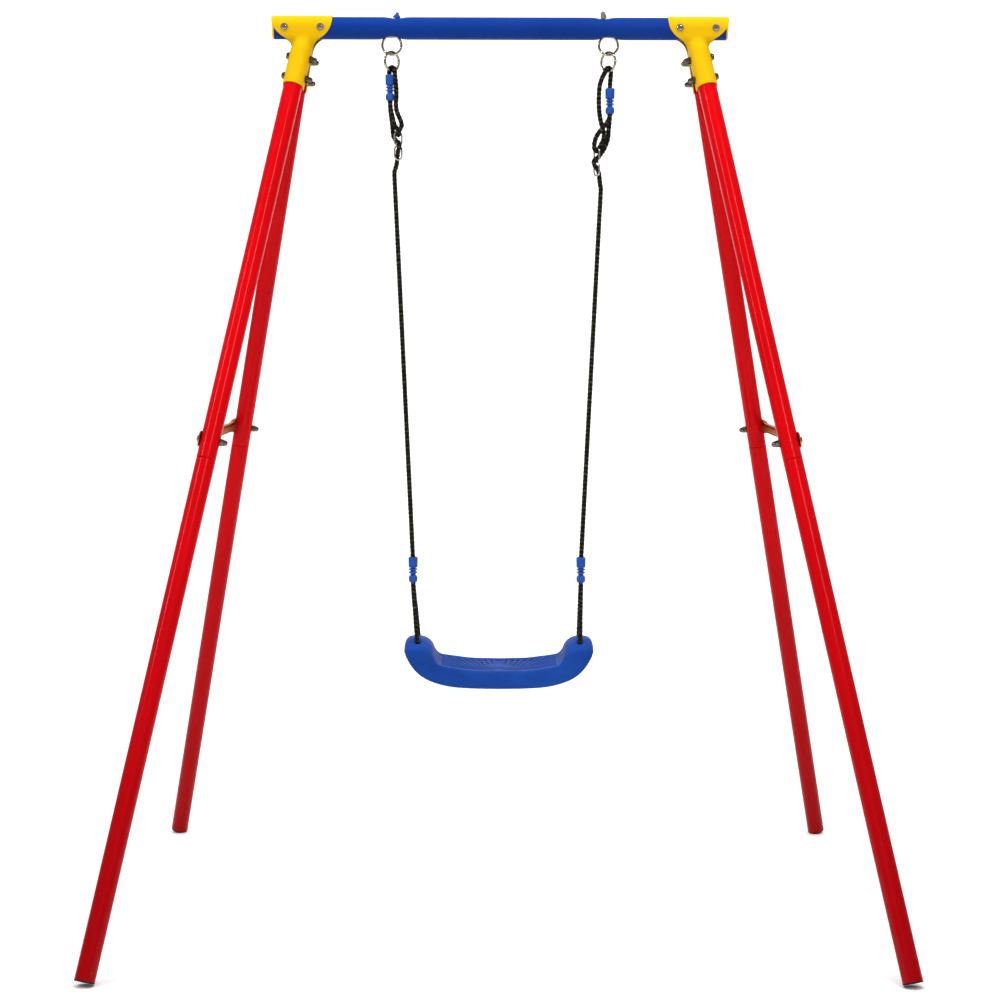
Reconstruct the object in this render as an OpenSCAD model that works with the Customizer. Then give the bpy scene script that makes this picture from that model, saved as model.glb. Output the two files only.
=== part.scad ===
// Single-seat garden swing set: an A-frame of tubes, a crossbeam, two steel
// brackets and a moulded seat that hangs from two rings on braided ropes.
// Millimetres, +Z up, origin on the ground under the middle of the beam.
// The swing moves along Y. -Y is the front.

/* [Crossbeam] */
// Height of the top of the crossbeam above the ground
beam_top = 2000; // [1900:10:2100]
// Outer diameter of the crossbeam tube
beam_d = 50; // [46:1:52]
// Wall of the crossbeam tube
beam_wall = 2; // [1.5:0.5:3]
// Length of the crossbeam tube between its end caps
beam_len = 1008; // [1000:1:1016]

/* [Legs] */
// Outer diameter of the leg tubes
leg_d = 42; // [40:1:42]
// Wall of the leg tubes
leg_wall = 1.5; // [1.2:0.1:2]
// Distance from the middle to the point where a pair of legs meets the beam
leg_top_x = 433; // [430:1:436]
// Distance from the middle to a foot, across the frame
foot_x = 826; // [780:1:850]
// Distance from the middle to a foot, front to back
foot_y = 725; // [690:1:760]
// Distance along the leg from the beam axis to the joint of upper and lower leg
leg_joint = 1025; // [1010:1:1060]

/* [Brackets] */
// Thickness of the pressed steel brackets
plate = 2.5; // [2:0.1:3]
// Distance along the leg from the beam axis to the end of the bracket's sleeve
sleeve_end = 144; // [140:1:160]

/* [Spreaders] */
// Outer diameter of the spreader tubes
spreader_d = 22; // [20:1:24]
// Distance along the leg from the beam axis to the spreader bolt
spreader_at = 982; // [975:1:985]

/* [Ropes] */
// Diameter of the braided rope
rope_d = 10; // [9:0.5:10]

/* [Seat] */
// Depth of the seat, front to back
seat_depth = 170; // [160:2:180]

/* [Hidden] */
$fn = 48;
beam_r = beam_d/2;
beam_z = beam_top - beam_r;
leg_r = leg_d/2;
clear = 0.1;
// leg direction: leans out sideways by lean_x and outwards by lean_y
foot_rise = 7.95;
v = [foot_x - leg_top_x, foot_y, beam_z - foot_rise];
leg_len = norm(v);
lean_x = asin(v[0]/leg_len);
lean_y = atan2(v[1], v[2]);
foot_lift = leg_r*sqrt(1 - pow(v[2]/leg_len, 2));
leg_end = (beam_z - foot_lift)/(v[2]/leg_len);
plug_t = 2;
// eye bolts
eye_x = 242;
eye_z = 1938;
eye_R = 21.25;
wire_r = 3;
shank_r = 3.9;
nut_x = 231;
eye_tilt = atan2(eye_x - nut_x, beam_top - eye_z);
ring_z = 1901.8;
ring_yaw = 46;
// swing and seat hinges
swing_z = eye_z - eye_R;
seat_pivot_z = 780;
rope_r = rope_d/2;
// beam bolts and leg bolts
beam_bolt_x = [400, 480];
leg_bolt_s = [74, 122.5];

// rope routes, outer free end first
route_left = [[-246,-5.5,1860],[-246,-5.5,1838],[-246,-5.5,1812],[-244,-6.5,1794],[-240,-7.5,1777],
  [-236.5,-8.6,1763],[-231,-9,1753],[-226.2,-7.6,1747],[-226.2,-4.9,1741.2],[-228,0,1738.6],
  [-229.8,4.9,1741],[-229.2,8.2,1746.5],[-225,10.5,1752],[-221,9,1759],[-221.5,4,1768],
  [-226,-2,1779],[-231,-8,1792],[-232.5,-13,1805],[-231.5,-16,1820],[-231.5,-16,1836],
  [-232.5,-13,1852],[-234.2,-9.3,1866],[-235.7,-6.05,1880.5],[-237.6,-4.27,1886.7],[-242,0,1889.25],
  [-246.4,4.27,1886.7],[-248.2,6.05,1880.5],[-247.6,6.2,1872],[-246,5.5,1856],[-246,5.5,1830],
  [-246,5.5,1812],[-245.5,6.5,1794],[-243.5,8.5,1777],[-241.5,10.5,1761],[-240.5,10.8,1747],
  [-238.5,8.8,1735.5],[-233.5,5.5,1727.5],[-228,0,1723],[-226.1,-4.9,1720.3],[-225.3,-7.3,1715],
  [-226.1,-5,1709.2],[-228,0,1704],[-229.8,5,1692.5],[-230.5,7,1685],[-231.8,6.3,1675],
  [-234.5,3,1663],[-236.5,0,1650]];
route_right = [[246,-5.5,1832],[246,-5.5,1808],[246,-5.5,1784],[242,-8.5,1771],[233.5,-11,1759],
  [224,-12,1748],[216.5,-11.5,1737],[212.5,-9.5,1726],[211.2,-6.5,1716],[212.8,-3.6,1706.5],
  [217,0,1703.6],[221,3.4,1706],[223.4,5.4,1712],[227.5,8,1720],[232,9.2,1730],
  [233.4,8,1741],[231,4.5,1753],[227,1,1766],[223.5,-2,1782],[221.5,-5,1800],
  [221,-8,1825],[223,-9.5,1850],[229,-8.6,1868],[235.7,-6.05,1880.5],[237.6,-4.27,1886.7],
  [242,0,1889.25],[246.4,4.27,1886.7],[248.2,6.05,1880.5],[247.5,6.2,1868],[246,5.8,1842],
  [246,5.5,1808],[246,5.5,1785],[245.5,8,1770],[244,12,1752],[243.2,15.5,1738],
  [240.2,15.5,1724.5],[234,12.5,1710],[226.5,8,1698.5],[221,3.6,1691],[217,0,1687.4],
  [212.6,-3.8,1684.5],[210.6,-5.4,1678],[212.6,-3.8,1671.6],[217,0,1667],[221.2,3.6,1659],
  [223,5,1651],[224,4.2,1641],[225.2,2,1629],[226.5,0,1615]];
// rope through the seat: down the front hole, under the lug and up the rear hole
route_bridle = function(x) [[x,-5.5,762],[x,-5.5,745],[x,-6.5,730],[183+0.81*(x-183),-16,700],
  [183+0.5*(x-183),-28,660],[183+0.19*(x-183),-42,615],[183,-49,590],[183,-50,572],[183,-48,558],
  [183,-40,550],[183,-25,547],[183,0,546.5],[183,25,547],[183,40,550],[183,48,558],[183,50,572],
  [183,49,590],[183+0.19*(x-183),42,615],[183+0.5*(x-183),28,660],[183+0.81*(x-183),16,700],
  [x,6.5,730],[x,5.5,745],[x,5.5,762]];
// across the frame, the ropes meet the lower clamps at
lower_clamp_x = function(side) side < 0 ? 195 : 186;

// ---------- helpers ----------
function unit(a) = a/norm(a);
function curve(p0, p1, p2, p3, t) = 0.5*(2*p1 + (p2 - p0)*t
  + (2*p0 - 5*p1 + 4*p2 - p3)*t*t + (3*p1 - p0 - 3*p2 + p3)*t*t*t);
function smooth(p, k) = let(n = len(p)) [for (i = [0:n-2], j = [0:k-1])
  curve(i > 0 ? p[i-1] : 2*p[0] - p[1], p[i], p[i+1],
        i + 2 < n ? p[i+2] : 2*p[n-1] - p[n-2], j/k), p[n-1]];
function tangents(p) = let(n = len(p)) [for (i = [0:n-1])
  unit(p[min(i+1, n-1)] - p[max(i-1, 0)])];
function normals(t) = let(a = abs(t[0][1]) < 0.9 ? [0,1,0] : [1,0,0],
  n0 = unit(a - (a*t[0])*t[0]))
  [for (i = 0, n = n0; i < len(t); i = i + 1,
    n = i < len(t) ? unit(n - (n*t[i])*t[i]) : n) n];

module rope(points, k = 1, sides = 10, d = rope_d) {
  p = smooth(points, k);
  t = tangents(p);
  u = normals(t);
  n = len(p);
  pts = [for (i = [0:n-1], j = [0:sides-1]) let(a = 360*j/sides)
    p[i] + d/2*(cos(a)*u[i] + sin(a)*cross(t[i], u[i]))];
  faces = concat(
    [[for (j = [0:sides-1]) j]],
    [for (i = [0:n-2], j = [0:sides-1]) let(q = (j+1)%sides)
      [i*sides + j, (i+1)*sides + j, (i+1)*sides + q]],
    [for (i = [0:n-2], j = [0:sides-1]) let(q = (j+1)%sides)
      [i*sides + j, (i+1)*sides + q, i*sides + q]],
    [[for (j = [sides-1:-1:0]) (n-1)*sides + j]]);
  polyhedron(pts, faces, convexity = 6);
}

// places its children in a leg's own frame: origin on the beam axis, the leg
// runs down -Z, local -Y faces outwards and local -X faces the frame's end
module leg_frame(side, end) {
  mirror([side > 0 ? 1 : 0, 0, 0]) mirror([0, end > 0 ? 1 : 0, 0])
    translate([-leg_top_x, 0, beam_z])
      rotate([-lean_y, 0, 0]) rotate([0, lean_x, 0]) children();
}
module each_leg() {
  for (side = [-1, 1], end = [-1, 1]) leg_frame(side, end) children();
}
module cyl_x(r, x0, x1) {
  translate([x0, 0, 0]) rotate([0, 90, 0]) cylinder(r = r, h = x1 - x0);
}
module cyl_y(r, y0, y1) {
  translate([0, y1, 0]) rotate([90, 0, 0]) cylinder(r = r, h = y1 - y0);
}
module down(r, s0, s1) {
  translate([0, 0, -s1]) cylinder(r = r, h = s1 - s0);
}

// ---------- beam ----------
module crossbeam() color("#1a4599") {
  difference() {
    union() {
      difference() {
        translate([0, 0, beam_z]) cyl_x(beam_r, -beam_len/2, beam_len/2);
        translate([0, 0, beam_z]) cyl_x(beam_r - beam_wall, -beam_len/2 - 1, beam_len/2 + 1);
      }
      // pressed-in seats for the eye bolts
      for (s = [-1, 1]) intersection() {
        translate([s*eye_x, 0, eye_z]) cyl_y(eye_R + wire_r + 2.4, -6, 6);
        translate([0, 0, beam_z]) cyl_x(beam_r - 0.5, -beam_len/2, beam_len/2);
      }
    }
    for (s = [-1, 1]) {
      translate([s*eye_x, 0, eye_z]) cyl_y(eye_R + wire_r + 0.1, -4, 4);
      translate([s*eye_x, 0, eye_z]) rotate([0, -s*eye_tilt, 0])
        translate([0, 0, eye_R]) cylinder(r = shank_r + 0.2, h = 50);
      for (x = beam_bolt_x) translate([s*x, 0, beam_z]) cyl_y(4.2, -40, 40);
    }
  }
}
module end_cap(side) color("#fccb10") {
  translate([side*beam_len/2, 0, beam_z]) rotate([0, side*90, 0]) {
    cylinder(r = beam_r, h = 3);
    translate([0, 0, 3]) cylinder(r1 = beam_r, r2 = beam_r - 1.5, h = 1.5);
    translate([0, 0, -20]) difference() {
      cylinder(r = beam_r - beam_wall - clear, h = 20);
      translate([0, 0, -1]) cylinder(r = beam_r - beam_wall - 3, h = 18);
    }
  }
}

// ---------- brackets ----------
// curved edge of the flap, from the top of the beam down to the waist
flap_outer = smooth([[510,22],[509,13],[506,3],[500,-6],[490,-16],[478,-24.5],[469,-34],[465,-43]], 3);
flap_inner = smooth([[374,22],[375,12],[378,0],[384,-10],[394,-20],[405,-27],[413,-35],[417,-45]], 3);
gap = 0.1;
module bracket_blank() {
  // saddle over the beam
  translate([0, 0, beam_z]) difference() {
    intersection() {
      cyl_x(beam_r + plate, -510, -374);
      translate([-520, -40, -0.4]) cube([160, 80, 40]);
    }
    cyl_x(beam_r + gap, -520, -360);
  }
  // front and rear flaps
  for (e = [-1, 1]) translate([0, e > 0 ? beam_r + plate : -beam_r - gap, beam_z])
    rotate([90, 0, 0]) linear_extrude(plate - gap) polygon(concat(
      [for (p = flap_outer) if (p[1] < -1) [-p[0], p[1]]],
      [[-464, -50], [-421, -50]],
      [for (i = [len(flap_inner)-1:-1:0]) if (flap_inner[i][1] < -1) [-flap_inner[i][0], flap_inner[i][1]]],
      [[-374, 0], [-510, 0]]));
  // sleeves down the two legs
  for (e = [-1, 1]) difference() {
    leg_frame(-1, e) difference() {
      translate([0, 0, -sleeve_end]) union() {
        cylinder(r = leg_r + clear + plate, h = sleeve_end - 14);
        translate([-(leg_r + clear + plate), 0, 0])
          cube([2*(leg_r + clear + plate), 14, sleeve_end - 14]);
      }
      translate([0, 0, -sleeve_end - 1]) {
        cylinder(r = leg_r + clear, h = sleeve_end);
        translate([-(leg_r + clear), 0, 0]) cube([2*(leg_r + clear), 60, sleeve_end]);
        translate([-40, 14, 0]) cube([80, 60, sleeve_end]);
      }
    }
    translate([0, 0, beam_z]) cyl_x(beam_r + 0.4, -600, -300);
  }
}
module bracket(side) color("#fccb10")
  mirror([side > 0 ? 1 : 0, 0, 0]) difference() {
    bracket_blank();
    for (x = beam_bolt_x) translate([-x, 0, beam_z]) cyl_y(4.2, -40, 40);
    for (e = [-1, 1]) leg_frame(-1, e)
      for (s = leg_bolt_s) translate([0, 0, -s]) cyl_x(4.2, -40, 40);
  }

// ---------- legs ----------
module upper_leg(side, end) color("#eb0e21") leg_frame(side, end) difference() {
  down(leg_r, 60, leg_joint);
  down(leg_r - leg_wall, 50, leg_joint + 10);
  for (s = concat(leg_bolt_s, [spreader_at])) translate([0, 0, -s]) cyl_x(4.2, -40, 40);
}
module lower_leg(side, end) color("#eb0e21") leg_frame(side, end) difference() {
  union() {
    down(leg_r, leg_joint + 0.6, leg_end - plug_t);
    down(leg_r - leg_wall - clear, leg_joint - 90, leg_joint + 3);
  }
  down(leg_r - leg_wall, leg_joint + 3, leg_end + 10);
  down(leg_r - 2*leg_wall - clear, leg_joint - 100, leg_joint + 4);
  translate([0, 0, -spreader_at]) cyl_x(4.2, -40, 40);
}
module foot_plug(side, end) color("#26262a") leg_frame(side, end) {
  down(leg_r, leg_end - plug_t, leg_end);
  difference() {
    down(leg_r - leg_wall - clear, leg_end - 22, leg_end - plug_t);
    down(leg_r - leg_wall - 3, leg_end - 23, leg_end - plug_t - 2);
  }
}

// ---------- spreaders ----------
flat_at = leg_r + 0.05;
flat_t = 3.4;
// flattened end of a spreader, in the frame of the leg's bolt, +Y towards the middle
module flat_end() {
  c = -flat_at - flat_t/2;
  cyl_x(17, -flat_at - flat_t, -flat_at);
  translate([-flat_at - flat_t, 0, 0]) rotate([90, 0, 90]) linear_extrude(flat_t)
    polygon([[0, -17], [24, -17], [50, -10.4], [50, 10.4], [24, 17], [0, 17]]);
  intersection() {
    translate([c, 0, 0]) cyl_y(spreader_d/2 - 0.4, 24, 70);
    translate([0, 0, -12]) linear_extrude(24) polygon([[c - 1.4, 23], [c + 1.4, 23],
      [c + 12, 60], [c + 12, 72], [c - 12, 72], [c - 12, 60]]);
  }
}
module spreader(side) color("#c98b4a") {
  x1 = leg_top_x + spreader_at*v[0]/leg_len;
  y1 = spreader_at*v[1]/leg_len;
  z1 = beam_z - spreader_at*v[2]/leg_len;
  tx = x1 + (flat_at + flat_t/2)*cos(lean_x) - 55*sin(lean_y)*sin(lean_x);
  tz = z1 + (flat_at + flat_t/2)*sin(lean_x)*cos(lean_y);
  difference() {
    union() {
      translate([side*tx, 0, tz]) cyl_y(spreader_d/2, 50 - y1, y1 - 50);
      for (e = [-1, 1]) leg_frame(side, e) translate([0, 0, -spreader_at])
        rotate([lean_y, 0, 0]) flat_end();
    }
    translate([side*tx, 0, tz]) cyl_y(spreader_d/2 - 1.5, 80 - y1, y1 - 80);
    for (e = [-1, 1]) leg_frame(side, e) translate([0, 0, -spreader_at]) cyl_x(4.2, -60, 60);
  }
}

// ---------- fasteners, drawn along +X from the head's seat at x = 0 ----------
module dome_bolt(grip) {
  cyl_x(4, 0, grip);
  intersection() {
    translate([3.2, 0, 0]) sphere(r = 8.4);
    cyl_x(7.6, -5, 0.01);
  }
}
module washer(x, r = 8.5, t = 1.6) {
  difference() {
    cyl_x(r, x, x + t);
    cyl_x(4.15, x - 1, x + t + 1);
  }
}
module cap_nut(x) {
  translate([x, 0, 0]) difference() {
    union() {
      rotate([0, 90, 0]) cylinder(r = 7.5, h = 6.5, $fn = 6);
      cyl_x(6.2, 6.4, 9);
      intersection() {
        translate([9, 0, 0]) sphere(r = 6.2);
        cyl_x(6.3, 8.9, 16);
      }
    }
    cyl_x(4.05, -1, 9.2);
  }
}
module hex_nut(x) {
  translate([x, 0, 0]) difference() {
    rotate([0, 90, 0]) cylinder(r = 7.5, h = 6.5, $fn = 6);
    cyl_x(4.05, -1, 8);
  }
}
wall_x = leg_r + clear + plate;
module at_beam_bolts() {
  for (s = [-1, 1], x = beam_bolt_x) translate([s*x, 0, beam_z])
    rotate([0, 0, 90]) children();
}
module beam_bolts() color("#d8cfa8") at_beam_bolts()
  translate([-beam_r - plate - 1.7, 0, 0]) dome_bolt(2*(beam_r + plate) + 1.7 + 1.7 + 9);
module beam_bolt_washers() color("#e4ddc0") at_beam_bolts() {
  washer(-beam_r - plate - 1.65);
  washer(beam_r + plate + 0.05);
}
module beam_bolt_nuts() color("#d8cfa8") at_beam_bolts() cap_nut(beam_r + plate + 1.7);
module at_leg_bolts() {
  each_leg() for (s = leg_bolt_s) translate([0, 0, -s]) children();
}
module leg_bolts() color("#cfc8b4") at_leg_bolts()
  translate([-wall_x - 1.7, 0, 0]) dome_bolt(2*wall_x + 1.7 + 1.7 + 9);
module leg_bolt_washers() color("#e4ddc0") at_leg_bolts() {
  washer(-wall_x - 1.65);
  washer(wall_x + 0.05);
}
module leg_bolt_nuts() color("#cfc8b4") at_leg_bolts() cap_nut(wall_x + 1.7);
module at_spreader_bolts() {
  each_leg() translate([0, 0, -spreader_at]) children();
}
module spreader_bolts() color("#b98a52") at_spreader_bolts()
  translate([-flat_at - flat_t - 0.05, 0, 0]) dome_bolt(flat_at + flat_t + leg_r + 1.75 + 9);
module spreader_bolt_washers() color("#cfc8b4") at_spreader_bolts()
  difference() {
    cyl_x(8.5, leg_r - 1.5, leg_r + 1.6);
    down(leg_r + 0.02, -20, 20);
    cyl_x(4.15, 0, 60);
  }
module spreader_bolt_nuts() color("#cfc8b4") at_spreader_bolts() cap_nut(leg_r + 1.65);

// ---------- eye bolts and rings ----------
module wire_ring(R, r) {
  rotate([90, 0, 0]) rotate_extrude($fn = 64) translate([R, 0]) circle(r = r, $fn = 24);
}
module eye_axis(side) {
  translate([side*eye_x, 0, eye_z]) rotate([0, -side*eye_tilt, 0]) children();
}
module eye_bolt(side) color("#d9c27a") {
  translate([side*eye_x, 0, eye_z]) wire_ring(eye_R, wire_r);
  eye_axis(side) translate([0, 0, eye_R]) cylinder(r = shank_r, h = 53 + (side < 0 ? 3 : -8));
}
nut_seat = 64.6;
module eye_bolt_washers() color("#cfcfcf") for (s = [-1, 1]) difference() {
  eye_axis(s) translate([0, 0, 58]) cylinder(r = 7.6, h = nut_seat - 58 - 0.05);
  eye_axis(s) translate([0, 0, 40]) cylinder(r = shank_r + 0.15, h = 50);
  translate([0, 0, beam_z]) cyl_x(beam_r + 0.02, -300, 300);
}
module eye_bolt_nuts() color("#d8d8d8") {
  eye_axis(-1) translate([0, 0, nut_seat]) difference() {
    cylinder(r = 6.6, h = 4.5, $fn = 6);
    translate([0, 0, -1]) cylinder(r = shank_r + 0.05, h = 10);
  }
  eye_axis(1) translate([0, 0, nut_seat]) rotate([0, -90, 0]) cap_nut(0);
}
module eye_bolt_nut_cover() color("#1a4599") eye_axis(-1) difference() {
  translate([0, 0, nut_seat]) cylinder(r1 = 9, r2 = 6.8, h = 7);
  translate([0, 0, nut_seat - 1]) cylinder(r = 6.7, h = 1 + 4.55);
  translate([0, 0, nut_seat]) cylinder(r = shank_r + 0.05, h = 20);
}
module hanging_ring(side) color("#cbb98a")
  translate([side*eye_x, 0, ring_z]) rotate([0, 0, -side*ring_yaw]) wire_ring(eye_R, wire_r);

// ---------- rope hardware ----------
adj_r = 1.9;
module half_ring(R, r) {
  rotate([90, 0, 0]) rotate_extrude(angle = 180, $fn = 48) translate([R, 0]) circle(r = r, $fn = 20);
}
module adjuster_eye() {
  translate([0, 0, 7]) half_ring(8.5, adj_r);
  translate([0, 0, -7]) mirror([0, 0, 1]) half_ring(8.5, adj_r);
  for (s = [-1, 1]) translate([s*8.5, 0, -7.01]) cylinder(r = adj_r, h = 14.02, $fn = 20);
}
// figure-eight wire adjuster: two long eyes that share the bar between them
module adjuster(side, x, z, yaw) color("#b9b9b4")
  translate([side*x, 0, z]) rotate([0, 0, -side*yaw])
    for (s = [-1, 1]) translate([0, 0, s*15.5]) adjuster_eye();

// oval clamp that grips two ropes side by side, z = 0 at its lower end
module oval(rx, y, z0, z1) {
  translate([0, 0, z0]) {
    translate([0, -y, 0]) cylinder(r = rx, h = z1 - z0);
    translate([0, y, 0]) cylinder(r = rx, h = z1 - z0);
    translate([-rx, -y, 0]) cube([2*rx, 2*y, z1 - z0]);
  }
}
module clamp_body() {
  oval(9, 4.5, 0, 3);
  oval(10, 5, 3, 13);
  oval(9, 4.5, 13, 16);
  oval(7.2, 5, 16, 21);
  oval(9.6, 4.5, 21, 24);
  oval(7.2, 5, 24, 28);
  oval(9.6, 4.5, 28, 31);
  oval(7.2, 5, 31, 34);
  oval(10.4, 5, 34, 55);
  oval(9.6, 5, 55, 57);
}
module upper_clamp(side, z) color("#345cae") translate([side*246, 0, z]) difference() {
  clamp_body();
  oval(rope_r + 0.1, 5.5, -1, 60);
}
module lower_clamp(side) color("#345cae") translate([side*lower_clamp_x(side), 0, 732]) difference() {
  clamp_body();
  oval(rope_r + 0.1, 5.5, -1, 31);
  // round socket and mouth for the end of the main rope
  translate([0, 0, seat_pivot_z - 732]) sphere(r = rope_r + 0.4);
  translate([0, 0, seat_pivot_z - 732]) cylinder(r1 = rope_r + 0.45, r2 = rope_r + 4.2, h = 9.01);
}

// ---------- ropes ----------
module main_rope(side) color("#1c1c1a") {
  top = side < 0 ? route_left[len(route_left)-1] : route_right[len(route_right)-1];
  a = [side*lower_clamp_x(side), 0, seat_pivot_z];
  d = top - a;
  translate(a) rotate([0, atan2(d[0], d[2]), 0]) {
    cylinder(r = rope_r, h = norm(d));
    sphere(r = rope_r);
  }
}
module rope_loop(side) color("#1c1c1a") rope(side < 0 ? route_left : route_right);
module seat_bridle(side) color("#1c1c1a") rope([for (p = route_bridle(lower_clamp_x(side))) [side*p[0], p[1], p[2]]]);

// ---------- seat ----------
seat_outer = [[0,497],[60,498],[110,502],[150,512],[180,529],[198,550],[209,573],[213.5,591],
  [210,603],[199,608],[178,608],[162,603],[151,592],[144,575],[137,562],[126,556],[90,550.5],[45,547],[0,546]];
seat_inner = [[0,501],[59,502],[108,506],[148,516],[176,532],[193,552],[204,574],[208,590],
  [205,599],[197,603],[180,603],[166,599],[156,590],[149,574],[141,559],[128,551.5],[90,546],[45,542.5],[0,541.5]];
function both(p) = concat(p, [for (i = [len(p)-2:-1:1]) [-p[i][0], p[i][1]]]);
module plan(x, y, r) {
  for (sx = [-1, 1], sy = [-1, 1]) translate([sx*(x - r), sy*(y - r)]) circle(r = r);
  square([2*(x - r), 2*y], center = true);
  square([2*x, 2*(y - r)], center = true);
}
module seat_block(profile, half, y, k) {
  intersection() {
    translate([0, y, 0]) rotate([90, 0, 0]) linear_extrude(2*y)
      polygon(both(smooth(profile, k)));
    translate([0, 0, 480]) linear_extrude(150) plan(half, y, 40);
  }
}
module seat() color("#214ba1") difference() {
  seat_block(seat_outer, 214, seat_depth/2, 3);
  seat_block(seat_inner, 209, seat_depth/2 - 5, 2);
  for (s = [-1, 1]) translate([s*183, 0, 0]) {
    for (e = [-1, 1]) translate([0, e*50, 500]) cylinder(r = 6.2, h = 150);
    // groove under the lug for the rope
    translate([-6.2, -56, 490]) cube([12.4, 112, 57]);
    translate([0, 0, 547]) cyl_y(6.2, -56, 56);
  }
}

crossbeam();
end_cap(-1);  // beam_end_cap_left
end_cap(1);  // beam_end_cap_right
bracket(-1);  // bracket_left
bracket(1);  // bracket_right
upper_leg(-1, -1);  // upper_leg_front_left
upper_leg(1, -1);  // upper_leg_front_right
upper_leg(-1, 1);  // upper_leg_rear_left
upper_leg(1, 1);  // upper_leg_rear_right
lower_leg(-1, -1);  // lower_leg_front_left
lower_leg(1, -1);  // lower_leg_front_right
lower_leg(-1, 1);  // lower_leg_rear_left
lower_leg(1, 1);  // lower_leg_rear_right
foot_plug(-1, -1);  // foot_plug_front_left
foot_plug(1, -1);  // foot_plug_front_right
foot_plug(-1, 1);  // foot_plug_rear_left
foot_plug(1, 1);  // foot_plug_rear_right
spreader(-1);  // spreader_left
spreader(1);  // spreader_right
beam_bolts();
beam_bolt_washers();
beam_bolt_nuts();
leg_bolts();
leg_bolt_washers();
leg_bolt_nuts();
spreader_bolts();
spreader_bolt_washers();
spreader_bolt_nuts();
eye_bolt(-1);  // eye_bolt_left
eye_bolt(1);  // eye_bolt_right
eye_bolt_washers();
eye_bolt_nuts();
eye_bolt_nut_cover();
hanging_ring(-1);  // hanging_ring_left
hanging_ring(1);  // hanging_ring_right
rope_loop(-1);  // rope_loop_left
rope_loop(1);  // rope_loop_right
main_rope(-1);  // main_rope_left
main_rope(1);  // main_rope_right
adjuster(-1, 228, 1715, 20);  // rope_adjuster_left
adjuster(1, 217, 1680, 50);  // rope_adjuster_right
upper_clamp(-1, 1815);  // upper_clamp_left
upper_clamp(1, 1786);  // upper_clamp_right
lower_clamp(-1);  // lower_clamp_left
lower_clamp(1);  // lower_clamp_right
seat_bridle(-1);  // seat_bridle_left
seat_bridle(1);  // seat_bridle_right
seat();
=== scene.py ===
import math

import bpy
import numpy as np
from mathutils import Matrix, Vector


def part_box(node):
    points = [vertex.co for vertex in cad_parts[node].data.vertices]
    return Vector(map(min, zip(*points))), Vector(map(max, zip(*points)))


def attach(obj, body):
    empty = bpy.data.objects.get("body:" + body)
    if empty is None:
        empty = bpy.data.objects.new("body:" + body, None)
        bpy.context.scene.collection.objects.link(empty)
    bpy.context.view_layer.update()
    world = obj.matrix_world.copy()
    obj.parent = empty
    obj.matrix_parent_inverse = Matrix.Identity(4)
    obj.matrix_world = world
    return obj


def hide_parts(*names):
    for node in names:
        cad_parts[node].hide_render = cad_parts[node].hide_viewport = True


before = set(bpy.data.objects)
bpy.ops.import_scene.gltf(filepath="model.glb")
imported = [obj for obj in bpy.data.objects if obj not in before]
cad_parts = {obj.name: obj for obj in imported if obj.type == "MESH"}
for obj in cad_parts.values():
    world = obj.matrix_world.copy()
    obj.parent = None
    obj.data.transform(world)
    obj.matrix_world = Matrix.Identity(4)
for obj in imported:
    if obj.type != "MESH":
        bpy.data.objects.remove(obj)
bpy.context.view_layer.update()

scene = bpy.context.scene
scene.view_settings.view_transform = "Standard"
R = np.random.default_rng(7)

# ------------------------------------------------------------------ camera
def make_camera():
    pitch, yaw, roll = math.radians(4.27), math.radians(-0.148), math.radians(0.129)
    cy, sy, cp, sp = math.cos(yaw), math.sin(yaw), math.cos(pitch), math.sin(pitch)
    right0 = Vector((cy, sy, 0))
    up0 = Vector((-sy * sp, cy * sp, cp))
    ahead = Vector((-sy * cp, cy * cp, -sp))
    right = math.cos(roll) * right0 + math.sin(roll) * up0
    up = -math.sin(roll) * right0 + math.cos(roll) * up0
    m = Matrix((right, up, -ahead)).transposed().to_4x4()
    m.translation = Vector((-0.0120, -5.408, 1.323))
    data = bpy.data.cameras.new("camera")
    data.sensor_width = 36
    data.lens = 86.13
    data.clip_start, data.clip_end = 0.05, 60
    cam = bpy.data.objects.new("camera", data)
    cam.matrix_world = m
    scene.collection.objects.link(cam)
    scene.camera = cam


make_camera()

# ------------------------------------------------------------------ material kit
def lin(r, g, b):
    def f(c):
        c /= 255
        return c / 12.92 if c <= 0.04045 else ((c + 0.055) / 1.055) ** 2.4
    return (f(r), f(g), f(b), 1.0)


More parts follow.
